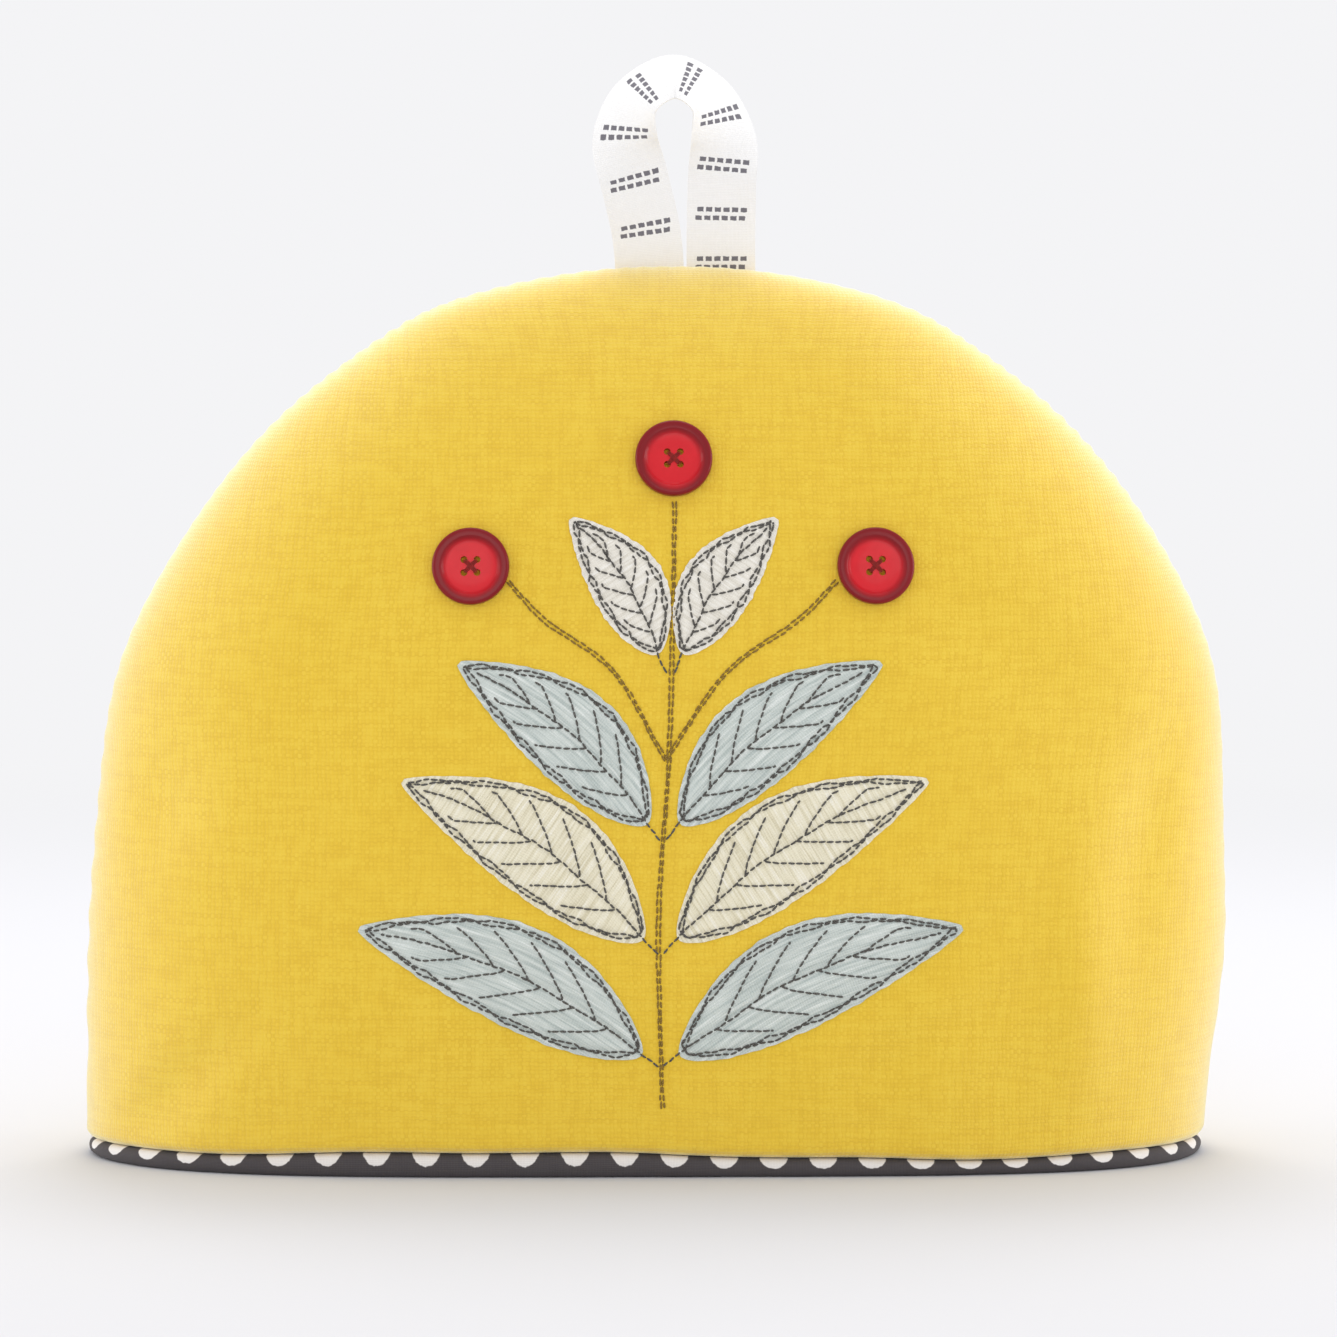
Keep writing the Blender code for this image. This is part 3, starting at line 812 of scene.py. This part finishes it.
backward = np.array([0.0, 1.0, 0.0])
seam_work = Needlework(31)
for first_turn, end_x in ((0.0, TAPE_SPAN[1]), (math.pi, TAPE_SPAN[0])):
    last_turn = math.acos((end_x - LEAN) / (HALF_WIDTH * fullness_at(HEIGHT)))
    turns = np.linspace(first_turn, last_turn, SEAM_STEPS)
    line = layer_point(np.cos(turns), np.sin(turns), SEAM_THREAD_DEPTH, -1)
    line[:, 1] = SEAM_Y
    out = np.cross(unit(np.gradient(line, axis=0)), backward)
    radii = np.full(SEAM_STEPS, THREAD)
    seam_work.strand(line, out, backward, radii, np.arange(SEAM_STEPS) * SEAM_MAP_STEP)
    print(f"thread in one half of the seam: {run_along(line)[-1] * 1000:.0f} mm")
seam_thread = seam_work.piece("seam_thread")

# %% [markdown]
# ## The buttons
# The berries are glossy red buttons with four holes and a raised rim, each held by a cross of
# red thread. A button is turned round its middle, so a profile is spun, and its holes are cut.

# %% Sizes of a button
BUTTON_RIM = 0.0022
BUTTON_EDGE = 0.0008
BUTTON_SHOULDER = 1.4 * BUTTON_EDGE
BUTTON_THICKNESS = 0.0032
BUTTON_WELL_DEPTH = 0.0012
BUTTON_WELL_FLANK = 0.0018
BUTTON_WELL_RINGS = (0.0045, 0.0030, 0.0015, 0.0)
BUTTON_SIDES = 72
HOLE_SIDES = 20
THREAD_HOLE_RADIUS = 0.0010
THREAD_HOLE_OFFSET = 0.0019
BUTTON_THREAD = 0.00024
STRAND_STEP = 0.00028
STRAND_SINK = 0.0002
STRAND_CROSSING = 0.00022


def button_profile():
    """(radius, height) places from the back's middle to the front's, with rounded corners."""
    bend = BUTTON_RADIUS - BUTTON_SHOULDER
    edge = quarter_round(BUTTON_RADIUS - BUTTON_EDGE, BUTTON_EDGE, BUTTON_EDGE, 90)
    shoulder = quarter_round(bend, BUTTON_THICKNESS - BUTTON_SHOULDER, BUTTON_SHOULDER, 180)
    slope = [
        (
            BUTTON_RADIUS - BUTTON_RIM - BUTTON_WELL_FLANK * share,
            BUTTON_THICKNESS - BUTTON_WELL_DEPTH * float(ease(share, 0.0, 1.0)),
        )
        for share in np.linspace(0, 1, 9)
    ]
    middle = [(radius, BUTTON_THICKNESS - BUTTON_WELL_DEPTH) for radius in BUTTON_WELL_RINGS]
    return [(0.0, 0.0)] + edge + shoulder + slope + middle


# %% Build the buttons
def seat_of(x, z):
    """Where a button sits on the front: its place, and its own X, Y and outward directions."""
    step = BUTTON_RADIUS / 4
    spots = [(x + step, z), (x - step, z), (x, z + step), (x, z - step)]
    right, left, up, down = (front_point(*spot, 0.0) for spot in spots)
    out = Vector(np.cross(right - left, up - down)).normalized()
    level = Vector((1, 0, 0))
    level = (level - out * level.dot(out)).normalized()
    turn = Matrix((level, out.cross(level), out)).transposed().to_4x4()
    return Matrix.Translation(Vector(front_point(x, z, CLEARANCE))) @ turn


def red_button(name, seat):
    """A turned button in its seat, its holes cut through."""
    bm = bmesh.new()
    line = [bm.verts.new((radius, 0, height)) for radius, height in button_profile()]
    edges = [bm.edges.new(pair) for pair in zip(line, line[1:])]
    spin = {"cent": (0, 0, 0), "axis": (0, 0, 1), "angle": math.tau, "steps": BUTTON_SIDES}
    bmesh.ops.spin(bm, geom=line + edges, use_merge=True, **spin)
    bmesh.ops.remove_doubles(bm, verts=bm.verts, dist=1e-6)
    bmesh.ops.recalc_face_normals(bm, faces=bm.faces)
    whole = add_object(name, mesh_of(bm, name))
    pins = bmesh.new()
    reach = THREAD_HOLE_OFFSET * math.sqrt(2)
    for turn in range(4):
        angle = math.tau * (turn + 0.5) / 4
        bmesh.ops.create_cone(
            pins,
            cap_ends=True,
            segments=HOLE_SIDES,
            radius1=THREAD_HOLE_RADIUS,
            radius2=THREAD_HOLE_RADIUS,
            depth=4 * BUTTON_THICKNESS,
            matrix=Matrix.Translation((reach * math.cos(angle), reach * math.sin(angle), 0)),
        )
    pin_object = add_object("pins", mesh_of(pins, "pins"))
    cut = whole.modifiers.new("holes", "BOOLEAN")
    cut.operation = "DIFFERENCE"
    cut.object = pin_object
    bpy.context.view_layer.update()
    graph = bpy.context.evaluated_depsgraph_get()
    pierced = bpy.data.meshes.new_from_object(whole.evaluated_get(graph))
    whole.modifiers.clear()
    whole.data = pierced
    bpy.data.objects.remove(pin_object)
    pierced.transform(seat)
    pierced.shade_smooth()
    pierced.set_sharp_from_angle(angle=math.radians(40))
    return whole


def button_thread(name, seat, seed):
    """Two crossed bars of thread between the holes, three strands in each."""
    work = Needlework(seed, BUTTON_THREAD)
    hole = THREAD_HOLE_OFFSET
    out = np.array(seat.to_3x3() @ Vector((0, 0, 1)))
    for flip in (1, -1):
        low = BUTTON_THICKNESS - BUTTON_WELL_DEPTH - STRAND_SINK + STRAND_CROSSING * (flip < 0)
        for strand in (-1, 0, 1):
            shift = strand * STRAND_STEP
            start = seat @ Vector((-hole - shift, flip * (shift - hole), low))
            end = seat @ Vector((hole - shift, flip * (shift + hole), low))
            work.stitch(np.array(start), np.array(end), out)
    return work.piece(name)


buttons, button_threads = [], []
for number, (x, z) in enumerate(BERRIES, 1):
    seat = seat_of(x, z)
    buttons.append(red_button(f"berry_button_{number}", seat))
    button_threads.append(button_thread(f"button_thread_{number}", seat, 40 + number))
print("buttons:", [b.name for b in buttons])

# %% [markdown]
# ## Writing finishes as sums
# A finish is a graph of nodes. Drawn by hand it takes a page, so the class below lets Python's
# own signs add the nodes: a + b makes a Math node, and so on. A Wire is one output socket.


# %% The helper that turns sums into nodes
def adds(operation, turned=False):
    """A method that adds a Math node. When turned, the Wire is its second value."""

    def method(wire, *others):
        values = (*others, wire) if turned else (wire, *others)
        return wire.finish.node("ShaderNodeMath", {"operation": operation}, *values)

    return method


class Wire:
    """One output of a node. Sums on it add Math nodes."""

    __add__, __radd__ = adds("ADD"), adds("ADD", turned=True)
    __sub__, __rsub__ = adds("SUBTRACT"), adds("SUBTRACT", turned=True)
    __mul__, __rmul__ = adds("MULTIPLY"), adds("MULTIPLY", turned=True)
    __truediv__, __pow__, __abs__ = adds("DIVIDE"), adds("POWER"), adds("ABSOLUTE")
    sin, fraction = adds("SINE"), adds("FRACT")
    larger, smaller = adds("MAXIMUM"), adds("MINIMUM")

    def __init__(self, finish, socket):
        self.finish, self.socket = finish, socket

    def step(self, start, end):
        """0 at start, 1 at end, and smooth between. start may be above end."""
        low, high = sorted((start, end))
        at_low, at_high = (0.0, 1.0) if start < end else (1.0, 0.0)
        settings = {"interpolation_type": "SMOOTHSTEP"}
        return self.finish.node("ShaderNodeMapRange", settings, self, low, high, at_low, at_high)


class Finish:
    """A material, and the ways to add nodes to it."""

    MIX_NUMBERS = (None,) * 5  # the sockets of a Mix node that a mix of colours leaves alone

    def __init__(self, name):
        self.material = bpy.data.materials.new(name)
        self.material.use_nodes = True
        self.tree = self.material.node_tree
        self.shader = self.tree.nodes["Principled BSDF"]

    def put(self, socket, value):
        """Gives a socket a link or a value, and a plain colour its alpha."""
        if isinstance(value, Wire):
            self.tree.links.new(value.socket, socket)
        elif value is not None:
            socket.default_value = (*value, 1) if socket.type == "RGBA" else value

    def fill(self, node, sockets):
        """Gives a node's sockets their links and values by name."""
        for name, value in sockets.items():
            self.put(node.inputs[name.replace("_", " ")], value)

    def node(self, kind, settings, *values, output=0, **named):
        """Adds a node: its settings first, then its sockets in order or by name."""
        made = self.tree.nodes.new(kind)
        for name, value in settings.items():
            setattr(made, name, value)
        for socket, value in zip(made.inputs, values):
            self.put(socket, value)
        self.fill(made, named)
        return Wire(self, made.outputs[output])

    def blend(self, share, first, second):
        """A colour between two, each a link or (r, g, b)."""
        settings = {"data_type": "RGBA"}
        return self.node("ShaderNodeMix", settings, share, *self.MIX_NUMBERS, first, second, output=2)

    def parts(self, spot):
        """The X, Y and Z of a place."""
        x = self.node("ShaderNodeSeparateXYZ", {}, spot)
        return [Wire(self, socket) for socket in x.socket.node.outputs]

    def place(self):
        """U and V of the cloth, in metres."""
        return self.parts(self.node("ShaderNodeUVMap", {"uv_map": "cloth"}))[:2]

    def at(self, x, y, z=0.0):
        return self.node("ShaderNodeCombineXYZ", {}, x, y, z)

    def noise(self, spot, scale, detail=2.0, roughness=0.5):
        """Soft noise from 0 to 1, with its size given as so many a metre."""
        sockets = {"Vector": spot, "Scale": scale, "Detail": detail, "Roughness": roughness}
        return self.node("ShaderNodeTexNoise", {}, **sockets)

    def relief(self, height, distance, strength=1.0):
        """Bumps of this height in metres on the shader's normal."""
        bump = self.node("ShaderNodeBump", {}, Strength=strength, Distance=distance, Height=height)
        self.fill(self.shader, {"Normal": bump})

    def surface(self, **sockets):
        """Fills the shader's own sockets, and gives the material."""
        self.fill(self.shader, sockets)
        print(f"{self.material.name}: {len(self.tree.nodes)} nodes")
        return self.material


# %% [markdown]
# ## Woven cloth
# A plain weave is two sets of threads that pass over and under each other. Its height at a place
# is the higher of the two threads there. Each thread is round across, and rises and falls along.
# The threads of real cloth wander, and are thick here and thin there: noise stretched along each
# set gives such slubs. All the cloths share this, with their own thread sizes.


# %% A plain weave
SWAYS_A_THREAD = 0.12
SLUBS_A_THREAD = 0.55


def weave(finish, pitch, wander, slub_reach, stretch=1.0):
    """(height, slub) of a plain weave. Both run from 0 to 1, and the slub is even at 0.5."""
    u, v = finish.place()
    sway = finish.noise(finish.at(u, v), SWAYS_A_THREAD / pitch, 1.0) - 0.5
    s = (u + sway * wander) / (pitch * stretch)
    t = (v - sway * wander) / pitch
    warp = (s * math.pi).sin()
    weft = (t * math.pi).sin()
    over = warp * weft
    height = (abs(warp) * (0.6 + 0.4 * over)).larger(abs(weft) * (0.6 - 0.4 * over))
    thick, thin = 1 / slub_reach, SLUBS_A_THREAD / pitch
    warp_slub = finish.noise(finish.at(u * thin, v * thick), 1.0)
    weft_slub = finish.noise(finish.at(u * thick, v * thin, 7.0), 1.0)
    on_top = over.step(-0.25, 0.25)
    slub = warp_slub * on_top + weft_slub * (1 - on_top)
    return height, slub


# %% [markdown]
# ## Yellow wool
# The outer cloth is a soft yellow wool, fulled a little, so that the weave shows only close by.
# Short fibres stand off it, and they catch the light where the cloth turns away: that is what
# sheen is for. Its colour is warmer in some threads and paler in others.

# %% Finish of the yellow wool
WOOL_PITCH = 0.00115
WOOL_FIBRES = 2600.0
WOOL_CLOUDS = 16.0
WOOL_RELIEF = 0.00022
WOOL_DEEP = (0.73, 0.455, 0.008)
WOOL_MAIN = (0.79, 0.515, 0.014)
WOOL_PALE = (0.83, 0.58, 0.034)


def yellow_wool():
    finish = Finish("yellow_wool")
    height, slub = weave(finish, WOOL_PITCH, wander=0.0011, slub_reach=0.011)
    spot = finish.at(*finish.place())
    fibre = finish.noise(spot, WOOL_FIBRES, 3.0, 0.7)
    cloud = finish.noise(spot, WOOL_CLOUDS, 3.0, 0.6)
    tone = height * 0.35 + slub.step(0.30, 0.72) * 0.45 + fibre * 0.2
    colour = finish.blend(tone.step(0.12, 0.62), WOOL_DEEP, WOOL_MAIN)
    colour = finish.blend((tone * 0.7 + cloud * 0.3).step(0.42, 0.80) * 0.75, colour, WOOL_PALE)
    finish.relief(height * 0.6 + slub * 0.5 + fibre * 0.35, WOOL_RELIEF, 0.8)
    return finish.surface(
        Base_Color=colour,
        Roughness=0.94 - 0.12 * fibre,
        Sheen_Weight=1.0,
        Sheen_Roughness=0.58,
        Sheen_Tint=(0.96, 1.0, 0.86),
        Specular_IOR_Level=0.18,
    )


yellow = yellow_wool()

# %% [markdown]
# ## Spotted cotton
# The lining is a fine dark cotton printed with white spots in staggered rows. A spot is a place
# where the distance to the nearest spot's middle is small. Two nets of spots, the second moved
# by half a step both ways, make the staggered rows.

# %% Finish of the spotted cotton
COTTON_PITCH = 0.00045
SPOT_PITCH = 0.0145
SPOT_ROW = 0.01256
SPOT_RADIUS = 0.0041
SPOT_SHIFT_U = 0.0040
SPOT_SHIFT_V = 0.0021
SPOT_SOFTNESS = 0.00015
SPOT_RAGGED = 0.0007
SPOT_NOISE = 900.0
DARK_COTTON = ((0.040, 0.034, 0.038), (0.095, 0.085, 0.088))
PALE_COTTON = ((0.66, 0.62, 0.60), (0.90, 0.88, 0.86))


def spotted_cotton():
    finish = Finish("spotted_cotton")
    u, v = finish.place()
    height, slub = weave(finish, COTTON_PITCH, wander=0.0003, slub_reach=0.006)
    ragged = (finish.noise(finish.at(u, v), SPOT_NOISE) - 0.5) * SPOT_RAGGED
    nets = []
    for shift in (0.0, 0.5):
        across = ((u - SPOT_SHIFT_U) / SPOT_PITCH + (shift + 0.5)).fraction() - 0.5
        along = ((v - SPOT_SHIFT_V) / (2 * SPOT_ROW) + (shift + 0.5)).fraction() - 0.5
        nets.append(((across * SPOT_PITCH) ** 2.0 + (along * (2 * SPOT_ROW)) ** 2.0) ** 0.5)
    away = nets[0].smaller(nets[1]) + ragged
    white = away.step(SPOT_RADIUS + SPOT_SOFTNESS, SPOT_RADIUS - SPOT_SOFTNESS)
    tone = height * 0.6 + slub * 0.4
    finish.relief(height, 0.00010, 0.6)
    return finish.surface(
        Base_Color=finish.blend(white, finish.blend(tone, *DARK_COTTON), finish.blend(tone, *PALE_COTTON)),
        Roughness=0.90 - 0.10 * height,
        Sheen_Weight=0.08,
        Specular_IOR_Level=0.25,
    )


spotted = spotted_cotton()

# %% [markdown]
# ## Cotton tape
# The tape is white, with two short lines of plain dark dashes printed at even steps along it.
# It is woven in a fine rib, and its two edges are a little thicker.

# %% Finish of the tape
TAPE_PITCH = 0.00050
DASH_STEP = 0.0146
DASH_START = 0.0020
DASH_LINE = 0.00125
DASH_HALF_HEIGHT = 0.00068
DASH_PITCH = 0.0026
DASH_OFFSET = 0.1
DASH_SHARE = 0.36
DASH_REACH = 3 * DASH_PITCH
INK_SMUDGE = 0.0005
INK_NOISE = 1100.0
INK = (0.075, 0.068, 0.095)
WHITE_COTTON = ((0.80, 0.79, 0.78), (0.95, 0.945, 0.94))


def cotton_tape():
    finish = Finish("cotton_tape")
    u, v = finish.place()
    height, slub = weave(finish, TAPE_PITCH, wander=0.0002, slub_reach=0.004, stretch=0.8)
    smudge = (finish.noise(finish.at(u, v), INK_NOISE) - 0.5) * INK_SMUDGE
    row = (((v - DASH_START) / DASH_STEP + 0.5).fraction() - 0.5) * DASH_STEP
    lines = []
    for way in (-1, 1):
        line = abs(row - way * DASH_LINE) + smudge
        dash = abs((u / DASH_PITCH + DASH_OFFSET * way).fraction() - 0.5) + smudge * 300.0
        inside = line.step(DASH_HALF_HEIGHT + 0.0001, DASH_HALF_HEIGHT - 0.0001)
        lines.append(inside * dash.step(DASH_SHARE + 0.03, DASH_SHARE - 0.03))
    printed = lines[0].larger(lines[1]) * abs(u).step(DASH_REACH + 0.0002, DASH_REACH - 0.0002)
    cotton = finish.blend(height * 0.5 + slub * 0.5, *WHITE_COTTON)
    finish.relief(height + slub * 0.4, 0.00013, 0.7)
    return finish.surface(
        Base_Color=finish.blend(printed * 0.88, cotton, INK),
        Roughness=0.92 - 0.10 * height,
        Sheen_Weight=0.15,
        Specular_IOR_Level=0.25,
    )


tape_finish = cotton_tape()

# %% [markdown]
# ## Linen scraps
# The leaves are linen: its threads are uneven, so long thick slubs run one way through it. They
# run along the blue leaves, and across the cream and white ones.

# %% Finish of the linens
Linen = namedtuple("Linen", "deep main pale pitch across")
LINENS = {
    "blue_cloth": Linen((0.40, 0.46, 0.44), (0.59, 0.64, 0.605), (0.78, 0.815, 0.785), 0.00075, False),
    "cream_cloth": Linen((0.64, 0.58, 0.40), (0.81, 0.76, 0.585), (0.91, 0.88, 0.78), 0.00075, True),
    "white_cloth": Linen((0.66, 0.62, 0.53), (0.82, 0.785, 0.70), (0.93, 0.91, 0.86), 0.00065, True),
}
LINEN_STREAKS = 55.0
LINEN_STREAKS_ACROSS = 1000.0
LINEN_RELIEF = 0.00018


def linen(name, cloth):
    finish = Finish(name + "_linen")
    height, slub = weave(finish, cloth.pitch, wander=0.0009, slub_reach=0.009)
    u, v = finish.place()
    along, across = (v, u) if cloth.across else (u, v)
    streaked = finish.at(along * LINEN_STREAKS, across * LINEN_STREAKS_ACROSS, 3.0)
    streak = finish.noise(streaked, 1.0, 3.0, 0.6)
    tone = streak.step(0.30, 0.75) * 0.55 + slub * 0.25 + height * 0.2
    colour = finish.blend(tone.step(0.10, 0.55), cloth.deep, cloth.main)
    colour = finish.blend(tone.step(0.50, 0.92), colour, cloth.pale)
    finish.relief(height * 0.7 + streak * 0.8 + slub * 0.3, LINEN_RELIEF, 0.9)
    return finish.surface(
        Base_Color=colour,
        Roughness=0.95 - 0.15 * height,
        Sheen_Weight=0.12,
        Specular_IOR_Level=0.25,
    )


linens = {name: linen(name, cloth) for name, cloth in LINENS.items()}

# %% [markdown]
# ## Threads
# A sewing thread is two or three plies twisted together. The twist shows as slanting bands, so
# a sine of the place along the stitch plus the place around it gives both colour and relief.


# %% Finish of the threads
PLY = 0.00075
THREAD_FLECKS = 900.0
THREAD_RELIEF = 0.00006


def thread(name, deep, pale, shine):
    finish = Finish(name)
    u, v = finish.place()
    twist = ((u / PLY + v * 2.0) * math.tau).sin() * 0.5 + 0.5
    fleck = finish.noise(finish.at(u, v * 0.002), THREAD_FLECKS)
    finish.relief(twist, THREAD_RELIEF, 0.8)
    return finish.surface(
        Base_Color=finish.blend(twist * 0.6 + fleck * 0.4, deep, pale),
        Roughness=shine + 0.15 * fleck,
        Sheen_Weight=0.05,
        Specular_IOR_Level=0.25,
    )


grey_thread = thread("grey_thread", (0.035, 0.033, 0.030), (0.16, 0.15, 0.135), 0.55)
brown_thread = thread("brown_thread", (0.14, 0.075, 0.010), (0.38, 0.24, 0.045), 0.5)
red_thread = thread("red_thread", (0.12, 0.006, 0.004), (0.36, 0.016, 0.012), 0.45)
gold_thread = thread("gold_thread", (0.42, 0.25, 0.010), (0.66, 0.43, 0.030), 0.6)

# %% [markdown]
# ## Red buttons
# The buttons are cast in a glossy red plastic. Painted shade darkens each one towards its rim.
# Fine scratches from handling make the gloss uneven, and a thin coat lets the edges catch the light.

# %% Finish of the buttons
# The deepest red is painted shade, laid over the rounded rim of each button
BUTTON_RIM_SHADE = (0.130, 0.003, 0.006)
BUTTON_MAIN = (0.58, 0.010, 0.018)
BUTTON_BRIGHT = (0.70, 0.016, 0.026)
RIM_SHADE_FROM = 0.0066
RIM_SHADE_TO = 0.0094
SWIRLS = 260.0
SCRATCHES = 3000.0


def button_red():
    finish = Finish("button_red")
    spot = finish.node("ShaderNodeTexCoord", {}, output="Object")
    x, _, z = finish.parts(spot)
    seats = [seat_of(*berry).translation for berry in BERRIES]
    first, second, third = (((x - seat.x) ** 2.0 + (z - seat.z) ** 2.0) ** 0.5 for seat in seats)
    away = first.smaller(second).smaller(third)
    swirl = finish.noise(spot, SWIRLS, 3.0, 0.6)
    scratch = finish.noise(spot, SCRATCHES)
    # Painted shade: the colour turns to the deepest red over the rim, between two distances from the
    # middle
    rim_shade = (away + (swirl - 0.5) * 0.0009).step(RIM_SHADE_FROM, RIM_SHADE_TO)
    bright = finish.blend(swirl, BUTTON_MAIN, BUTTON_BRIGHT)
    return finish.surface(
        Base_Color=finish.blend(rim_shade * 0.85, bright, BUTTON_RIM_SHADE),
        Roughness=0.24 + 0.18 * scratch,
        Coat_Weight=0.12,
        Coat_Roughness=0.10,
        Specular_IOR_Level=0.18,
    )


button_finish = button_red()

# %% [markdown]
# ## Putting the pieces on the frame
# Each piece rides on the model's one body and stands for the plain solid that it replaces.


def dress(piece, finish, slot, *nodes):
    """Gives a piece its finish and the nodes it stands for, which it hides. The slot is only printed."""
    piece.data.materials.clear()
    piece.data.materials.append(finish)
    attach(piece, "root")
    if nodes:
        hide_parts(*nodes)
    print(f"{piece.name}: {slot}, in place of", ", ".join(nodes) or "nothing")


dress(front_cover, yellow, "yellow_cloth", "front_panel")
dress(back_cover, yellow, "yellow_cloth", "back_panel")
dress(front_lining, spotted, "spotted_lining", "lining_front")
dress(back_lining, spotted, "spotted_lining", "lining_back")
dress(tape_loop, tape_finish, "white_tape", "hanging_loop")
for node, (patch, leaf) in leaves.items():
    dress(patch, linens[leaf.cloth], leaf.cloth, node)
for number, (button, cross) in enumerate(zip(buttons, button_threads), 1):
    dress(button, button_finish, "red_button", f"button_{number}")
    dress(cross, red_thread, "red_button")
dress(outline_thread, grey_thread, "blue_cloth")
dress(stem_thread, brown_thread, "yellow_cloth")
dress(seam_thread, gold_thread, "yellow_cloth")

# %% [markdown]
# ## The studio
# The cosy stands on a white floor in soft light that comes from all round. Its sides and its
# top shine where the light comes past them from behind. So the world is a pale even glow, with
# a large lamp on each side, two overhead towards the back and a weaker one far in front.

# %% Floor
FLOOR_RADIUS = 9.0
FLOOR_FADE_FROM = 0.50
FLOOR_FADE_TO = 1.5
STUDIO_WHITE = (0.905, 0.905, 0.92)
FLOOR_WHITE = (0.65, 0.65, 0.67)


def floor_finish():
    """White paper near the cosy, which fades into the lit background further off."""
    finish = Finish("floor_white")
    spot = finish.node("ShaderNodeTexCoord", {}, output="Object")
    away = finish.node("ShaderNodeVectorMath", {"operation": "LENGTH"}, spot, output="Value")
    lit = finish.node("ShaderNodeEmission", {}, STUDIO_WHITE, 1.0)
    paper = Wire(finish, finish.shader.outputs[0])
    share = away.step(FLOOR_FADE_FROM, FLOOR_FADE_TO)
    both = finish.node("ShaderNodeMixShader", {}, share, paper, lit)
    finish.fill(finish.tree.nodes["Material Output"], {"Surface": both})
    return finish.surface(Base_Color=FLOOR_WHITE, Roughness=0.95, Specular_IOR_Level=0.1)


def white_floor():
    bm = bmesh.new()
    bmesh.ops.create_circle(bm, cap_ends=True, segments=96, radius=FLOOR_RADIUS)
    floor = add_object("floor", mesh_of(bm, "floor"))
    floor.data.materials.append(floor_finish())


white_floor()

# %% Lamps and world
TARGET = Vector((0.0032, 0.0, 0.1455))


def lamp(name, place, size, power):
    """A square soft lamp that points at the cosy."""
    light = bpy.data.lights.new(name, "AREA")
    light.size = size
    light.energy = power
    held = add_object(name, light)
    held.location = place
    held.rotation_euler = (TARGET - Vector(place)).to_track_quat("-Z", "Y").to_euler()
    print(f"{name}: {power} W from {(TARGET - Vector(place)).length:.2f} m")


lamp("right_lamp", (1.40, 0.10, 0.40), 0.8, 8.0)
lamp("left_lamp", (-1.40, 0.15, 0.40), 0.8, 7.0)
lamp("top_lamp", (0.10, 0.45, 1.60), 0.9, 4.0)
lamp("back_lamp", (0.0, 1.00, 1.80), 1.0, 12.0)
lamp("front_lamp", (0.0, -2.30, 0.45), 1.2, 8.5)

world = bpy.data.worlds.new("studio")
world.use_nodes = True
glow = world.node_tree.nodes["Background"]
glow.inputs["Color"].default_value = (*STUDIO_WHITE, 1)
glow.inputs["Strength"].default_value = 1.0
bpy.context.scene.world = world
bpy.context.scene.view_settings.view_transform = "Standard"

# %% [markdown]
# ## The camera
# The photograph is taken almost square to the front and from a little above the hem, from about
# a metre and a half away with a long lens, which keeps the arch from spreading.

# %% Camera
DISTANCE = 1.55
ELEVATION = math.radians(3.5)
AZIMUTH = math.radians(-1.0)
SENSOR = 36.0
FRAME_WIDTH = 0.0003 * 1337

camera = add_object("camera", bpy.data.cameras.new("camera"))
level = math.cos(ELEVATION)
back = Vector((level * math.sin(AZIMUTH), -level * math.cos(AZIMUTH), math.sin(ELEVATION)))
camera.location = TARGET + back * DISTANCE
camera.rotation_euler = (-back).to_track_quat("-Z", "Y").to_euler()
camera.data.sensor_width = SENSOR
camera.data.lens = SENSOR * DISTANCE / FRAME_WIDTH
bpy.context.scene.camera = camera
print(f"lens: {camera.data.lens:.0f} mm")
